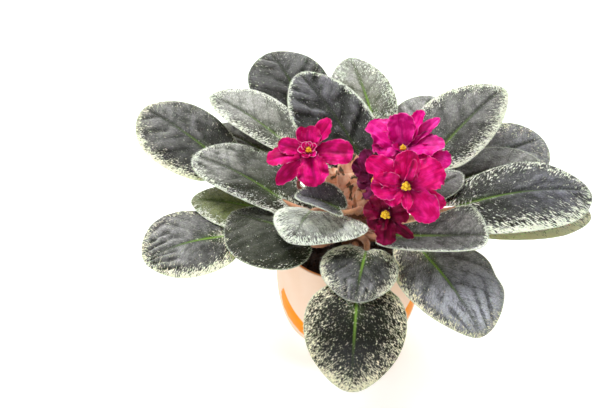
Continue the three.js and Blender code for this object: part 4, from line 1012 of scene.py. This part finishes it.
def add_petal(piece, place, out, petal, seed, finish, pale=0.0):
    """A ruffled petal: the broad wave of its solid, long folds that fan out from its base, and frills
    that grow towards a margin that is itself cut unevenly."""
    angle, length, width, lift, bend, turn, full = petal
    a, e = math.radians(angle), math.radians(lift)
    near, far = 2, 2 + length * math.cos(e)
    order = seed % 20
    blade = dict(
        base=place((near * math.cos(a), near * math.sin(a), 0.6)),
        tip=place((far * math.cos(a), far * math.sin(a), 0.6 + length * math.sin(e))),
        width=width, up=out, turn=turn, full=full, arch=bend * 0.2, cup=1.5,
        wave=min(2.2, width * 0.09), waves=2, phase=order * 1.9)
    rows, across = max(8, int((20 + 1.2 * length) * DETAIL)), max(4, int((6 + 0.7 * width) * DETAIL))
    face = blade_face(blade, PETAL_OUTLINE, rows, across)
    normals = face_normals(face["points"])
    t, v, y = face["t"], face["v"], face["y"]
    side = np.where(y < 0, 23.0, 3.0)
    fan = face["flat"][..., 1] / (3 + face["x"] * width * 0.5)
    folds = 0.055 * width * lumps(fan * 2.4 + 20, face["x"] * 1.6 + 9, seed) * ease(face["x"], 0.05, 0.4)
    frills = 0.1 * width * lumps(t * 11 + side, v * 1.5 + 4, seed + 1) * v ** 2
    frills += 0.05 * width * lumps(t * 24 + side, v * 2 + 8, seed + 2) * v ** 4
    crease = -0.5 * np.exp(-(face["flat"][..., 1] / 1.1) ** 2) * ease(face["x"], 0, 0.3)
    height = folds + frills * np.sin(np.pi * np.clip(t, 0, 1)) ** 0.5 + crease * ease(face["edge"], 0, 3)
    uneven = (0.05 * width * lumps(t * 17 + side, 0 * t + 2, seed + 3)
              + 0.03 * width * lumps(t * 37 + side, 0 * t + 5, seed + 4)) * v ** 4
    cut = np.abs(uneven) + 0.01 * width * v
    skin = face["points"] + normals * height[..., None] - face["out"] * cut[..., None]
    # Depth in the folds, which the petal's skin paints as shade.
    hollow = ease(-height, 0.1, 0.09 * width)
    # Painted light on the small petals round the anthers, which stand in the shade of their cup: less of the
    # throat's depth and of the painted fold shade.
    along = 0.5 + 0.5 * face["x"] if pale else face["x"]
    hollow = hollow * (0.2 if pale else 1)

    # flat: mm along, mm from the middle and mm to the margin. tones: along from the throat to the end,
    # share of the pale colour, and depth in the folds, which the skin darkens as painted shade.
    maps = {
        "flat": np.concatenate([face["flat"] + (order * 17.0, 0), face["edge"][..., None]], -1),
        "tones": np.stack([along, np.full_like(t, pale), hollow], -1),
    }
    add_sheet(piece, skin, normals, 0.3 + 0.4 * ease(face["edge"], 0, 3), finish, finish, maps)


def make_bloom(name, spec, finish, seed):
    """One bloom in three pieces: its petals in one body, its pollen sacs, and its stalk."""
    place, out = bloom_frame(spec)
    petals = Piece()
    for k, petal in enumerate(spec["petals"]):
        add_petal(petals, place, out, petal, seed + k, finish)
    for k, petal in enumerate(spec["inner"]):
        add_petal(petals, place, out, petal, seed + k + 3, finish)
    for k, petal in enumerate(spec["petaloids"]):
        add_petal(petals, place, out, (*petal, 2, 0, 0), seed + k + 11, finish, 0.8)
    throat = [(0, -0.6), (3.4, -0.6), (4, 0.4), (3.6, 1.6), (1.8, 1.5), (1.7, 0.4), (0, 0.4)]
    add_turned(petals, throat, 24, finish, place)
    petals.make(f"petals_{name}_ruffled", f"petals_{name}")
    make_anthers(name, place, spec.get("anthers", ANTHER_SIZE))
    make_flower_stalk(name, spec, place, out)


def add_sac(piece, place, size, middle, turn):
    """Adds one bean-shaped pollen sac with a seam down the side that turn gives."""
    half_width, half_height = 1.15, 1.5
    rise = np.linspace(-math.pi / 2, math.pi / 2, 11)
    profile = [(half_width * max(math.cos(r), 0), half_height * math.sin(r)) for r in rise]
    profile[0], profile[-1] = (0, -half_height), (0, half_height)

    def seam(points):
        angle = np.arctan2(points[..., 1], points[..., 0])
        from_seam = np.abs(np.angle(np.exp(1j * (angle - turn))))
        narrow = 1 - 0.3 * np.exp(-(from_seam / 0.35) ** 2)
        return points * np.stack([narrow, narrow, np.ones_like(narrow)], -1)

    add_turned(piece, profile, 18, POLLEN, lambda p: place((p + middle) * size), seam)


def make_anthers(name, place, size):
    """Seven pollen sacs on one short filament."""
    piece = Piece()
    filament = [(0, 0.7), (1.2, 0.7), (1.0, 2), (0.8, 3.6), (0, 3.8)]
    add_turned(piece, filament, 16, POLLEN, lambda p: place(p * size))
    sacs = [((1.5, 0.5, 3.9), 0.3), ((-1.4, 0.7, 4.3), -0.5), ((-0.3, -1.6, 4.4), 1.4), ((0, 1.7, 4.9), 2.4),
            ((1.8, -1.3, 4.1), 0.9), ((-1.9, -0.9, 3.6), 2.0), ((0.1, 0, 5.4), 0)]
    for middle, turn in sacs:
        add_sac(piece, place, size, middle, turn)
    piece.make(f"anthers_{name}_dusty", f"anthers_{name}")


def make_flower_stalk(name, spec, place, out):
    """The bloom's stalk with its five narrow hairy sepals."""
    piece = Piece()
    start = (CROWN_X, 0, CROWN_TOP - 6)
    waypoints = [start, *spec["via"], place((0, 0, -11)), place((0, 0, -3))]
    path = smooth_path(waypoints, 30)
    radii = 1.4 + 0.12 * np.sin(np.linspace(0, 9, len(path)))
    rings, outward = add_tube(piece, path, radii, 10, FLOWER_STALK)
    rooted_hairs(piece, rings, outward, STALK_HAIR, 700 + len(name), each=3, length=1.2, width=0.12)
    calyx = [(0, -4.6), (1.6, -4.6), (2.4, -3.5), (3, -2.2), (3.3, -0.9), (0, -0.9)]
    add_turned(piece, calyx, 20, SEPAL, place)
    for k in range(5):
        a = math.radians(k * 72 + 20)
        blade = dict(base=place((1.5 * math.cos(a), 1.5 * math.sin(a), -2)),
                     tip=place((9 * math.cos(a), 9 * math.sin(a), -4.5)), width=3.6, up=out, arch=0.6)
        face = blade_face(blade, PETAL_OUTLINE, 10, 4)
        normals = face_normals(face["points"])
        add_sheet(piece, face["points"], normals, 0.5, SEPAL, SEPAL, {})
        middle = face["points"][1:-1].reshape(-1, 3)
        rooted_hairs(piece, middle, -normals[1:-1].reshape(-1, 3), STALK_HAIR, 720 + k,
                     each=1, length=1.0, width=0.12)
    piece.make(f"flower_stalk_{name}_hairy", f"flower_stalk_{name}")


def make_crown():
    """The short stem, knobbly with leaf scars."""
    r = CROWN_RADIUS
    profile = [(0, 51), (r - 2, 51), (r - 1, 61), (r - 0.4, 68), (r, 75), (r - 0.3, 80), (r - 1, 85),
               (r - 2.3, 90), (r - 4, 94), (r - 5.2, 96), (r - 6.5, CROWN_TOP), (0, CROWN_TOP)]
    line = smooth_path(profile[1:-1], 40)

    def scars(points):
        angle = np.arctan2(points[..., 1], points[..., 0])
        bump = 0.35 * lumps(angle * 3 + 20, points[..., 2] / 4, 5) - 0.3
        grow = 1 + bump / np.maximum(np.hypot(points[..., 0], points[..., 1]), 4)
        return points * np.stack([grow, grow, np.ones_like(grow)], -1)

    piece = Piece()
    closed = [profile[0], *line, profile[-1]]
    add_turned(piece, closed, 48, crown_skin(), lambda p: p + (CROWN_X, 0, 0), scars)
    piece.make("crown_scarred", "crown")


def add_crumbs(piece, finish):
    """Scatters loose crumbs evenly over the top of the soil, but not round the crown."""
    count, wall_reach, crown_reach = 700, 47, 13
    rise = np.linspace(-1.2, 1.2, 4)[:, None]
    turn = np.linspace(0, 2 * np.pi, 6, endpoint=False)[None, :]
    level = np.cos(rise)
    ball = np.stack([level * np.cos(turn), level * np.sin(turn), np.sin(rise) + 0 * turn], -1)
    index = wrapped(np.arange(4 * 6).reshape(4, 6))[:, ::-1]
    rng = np.random.default_rng(21)
    for size in rng.uniform(0.5, 1.4, int(count * DETAIL)):
        radius, angle = wall_reach * math.sqrt(rng.uniform(0.08, 0.98)), rng.uniform(0, 2 * math.pi)
        middle = np.array((radius * math.cos(angle), radius * math.sin(angle), SOIL_TOP + 0.7))
        if math.hypot(middle[0] - CROWN_X, middle[1]) >= crown_reach:
            lump = rng.uniform(0.6, 1.1, (4, 6, 1)) * size
            piece.add_grid((middle + ball * lump).reshape(-1, 3), index, finish)


def make_soil():
    """Peat that fills the pot, its top covered in loose crumbs."""
    finish = peat()
    side = [(43.6, 4.3), (49 - WALL, 12.2), (51.5 - WALL, 24), (52.5 - WALL, 38), (51.9 - WALL, 54),
            (50.6 - WALL, 63)]
    hole_radius, hole_floor = 10.9, 50.6
    top = [(r, SOIL_TOP + 0.6) for r in np.linspace(47.2, hole_radius, 48)]

    def heaps(points):
        on_top = ease(points[..., 2], SOIL_TOP - 1.5, SOIL_TOP + 0.5)
        x, y = points[..., 0], points[..., 1]
        clear = ease(48 - np.hypot(x, y), 0, 3)
        rise = 0.9 * lumps(x / 7 + 20, y / 7 + 20, 8) + 0.6 * lumps(x / 2.4 + 40, y / 2.4 + 40, 9)
        return points + np.stack([0 * x, 0 * x, on_top * clear * rise], -1)

    piece = Piece()
    profile = [(0, 3.3), *side, *top, (hole_radius, hole_floor), (0, hole_floor)]
    add_turned(piece, profile, 120, finish, None, heaps)
    add_crumbs(piece, finish)
    piece.make("soil_crumbly", "soil")


def make_pot():
    """The pot, with a rounded foot, a soft belly and a rolled lip."""
    outside = smooth_path([(42, 0), (46, 2.5), (FOOT_RADIUS, 12), (52, 24), (BELLY_RADIUS, 38), (52.4, 54),
                           (RIM_RADIUS, 73)], 60)
    lip_middle = np.array((RIM_RADIUS - WALL / 2, 73.4))
    turns = np.linspace(0.15, math.pi - 0.1, 9)
    lip = [lip_middle + WALL / 2 * np.array((math.cos(a), 1.2 * math.sin(a))) for a in turns]
    inside = smooth_path([(RIM_RADIUS - WALL, 73), (52.4 - WALL, 54), (BELLY_RADIUS - WALL, 38),
                          (52 - WALL, 24), (FOOT_RADIUS - WALL, 12), (44, 4)], 40)
    piece = Piece()
    add_turned(piece, [(0, 0), *outside, *lip, *inside, (0, 3)], 144, glazed_pot())
    piece.make("pot_glazed", "pot")


def make_studio():
    """White floor, white surroundings, large soft lights above and behind, and a fill in front."""
    # In metres, it reaches past the edges of the picture and lies just under the pot.
    reach, drop = 40, 0.5 * MM
    corners = [(-reach, -reach, 0), (reach, -reach, 0), (reach, reach, 0), (-reach, reach, 0)]
    mesh = bpy.data.meshes.new("floor")
    mesh.from_pydata(corners, [], [(0, 1, 2, 3)])
    mesh.materials.append(studio_floor())
    floor = bpy.data.objects.new("floor", mesh)
    floor.location.z = -drop
    bpy.context.scene.collection.objects.link(floor)
    world = bpy.data.worlds.new("white_room")
    world.use_nodes = True
    world.node_tree.nodes["Background"].inputs["Color"].default_value = linear("#ffffff")
    world.node_tree.nodes["Background"].inputs["Strength"].default_value = 0.38
    bpy.context.scene.world = world
    # Each light's place, the point that it looks at and its width in metres, and its power in watts.
    lights = [("overhead_softbox", (-0.35, 0.35, 1.15), (0.0, 0.0, 0.1), 0.7, 16),
              ("back_softbox", (0.15, 1.25, 0.6), (0.0, 0.0, 0.1), 0.9, 12),
              ("front_fill", (-0.7, -1.0, 0.7), (0.0, 0.0, 0.05), 0.9, 1.8)]
    for name, place, at, size, power in lights:
        data = bpy.data.lights.new(name, "AREA")
        data.shape, data.size, data.energy = "DISK", size, power
        light = bpy.data.objects.new(name, data)
        light.location = place
        light.rotation_euler = (Vector(at) - Vector(place)).to_track_quat("-Z", "Y").to_euler()
        bpy.context.scene.collection.objects.link(light)
    bpy.context.scene.view_settings.view_transform = "Standard"


def make_camera():
    """Looks down at the plant by 38 degrees from 1 m in front of it."""
    elevation, distance = math.radians(38), 1000
    target = np.array((-31.4, 0, 104))
    place = target + distance * np.array((0, -math.cos(elevation), math.sin(elevation)))
    # A 36 mm wide sensor behind an 82 mm lens has the photograph's angle of view.
    data = bpy.data.cameras.new("camera")
    data.sensor_width, data.sensor_fit, data.lens = 36, "HORIZONTAL", 82.35
    camera = bpy.data.objects.new("camera", data)
    camera.location = place * MM
    camera.rotation_euler = (math.pi / 2 - elevation, 0, 0)
    bpy.context.scene.collection.objects.link(camera)
    bpy.context.scene.camera = camera


make_studio()
make_camera()
make_pot()
make_soil()
make_crown()

# Each leaf and each bloom has a seed of its own for its folds and hairs, from its place in its table.
for seed, (leaf_name, leaf_spec) in enumerate(LEAVES.items(), 100):
    make_leaf(leaf_name, leaf_spec, seed)
for seed, (leaf_name, leaf_spec) in enumerate(YOUNG_LEAVES.items(), 200):
    make_young_leaf(leaf_name, leaf_spec, seed)
for number, (bloom_name, bloom_spec) in enumerate(BLOOMS.items()):
    make_bloom(bloom_name, bloom_spec, PETALS[bloom_name], 300 + 20 * number)
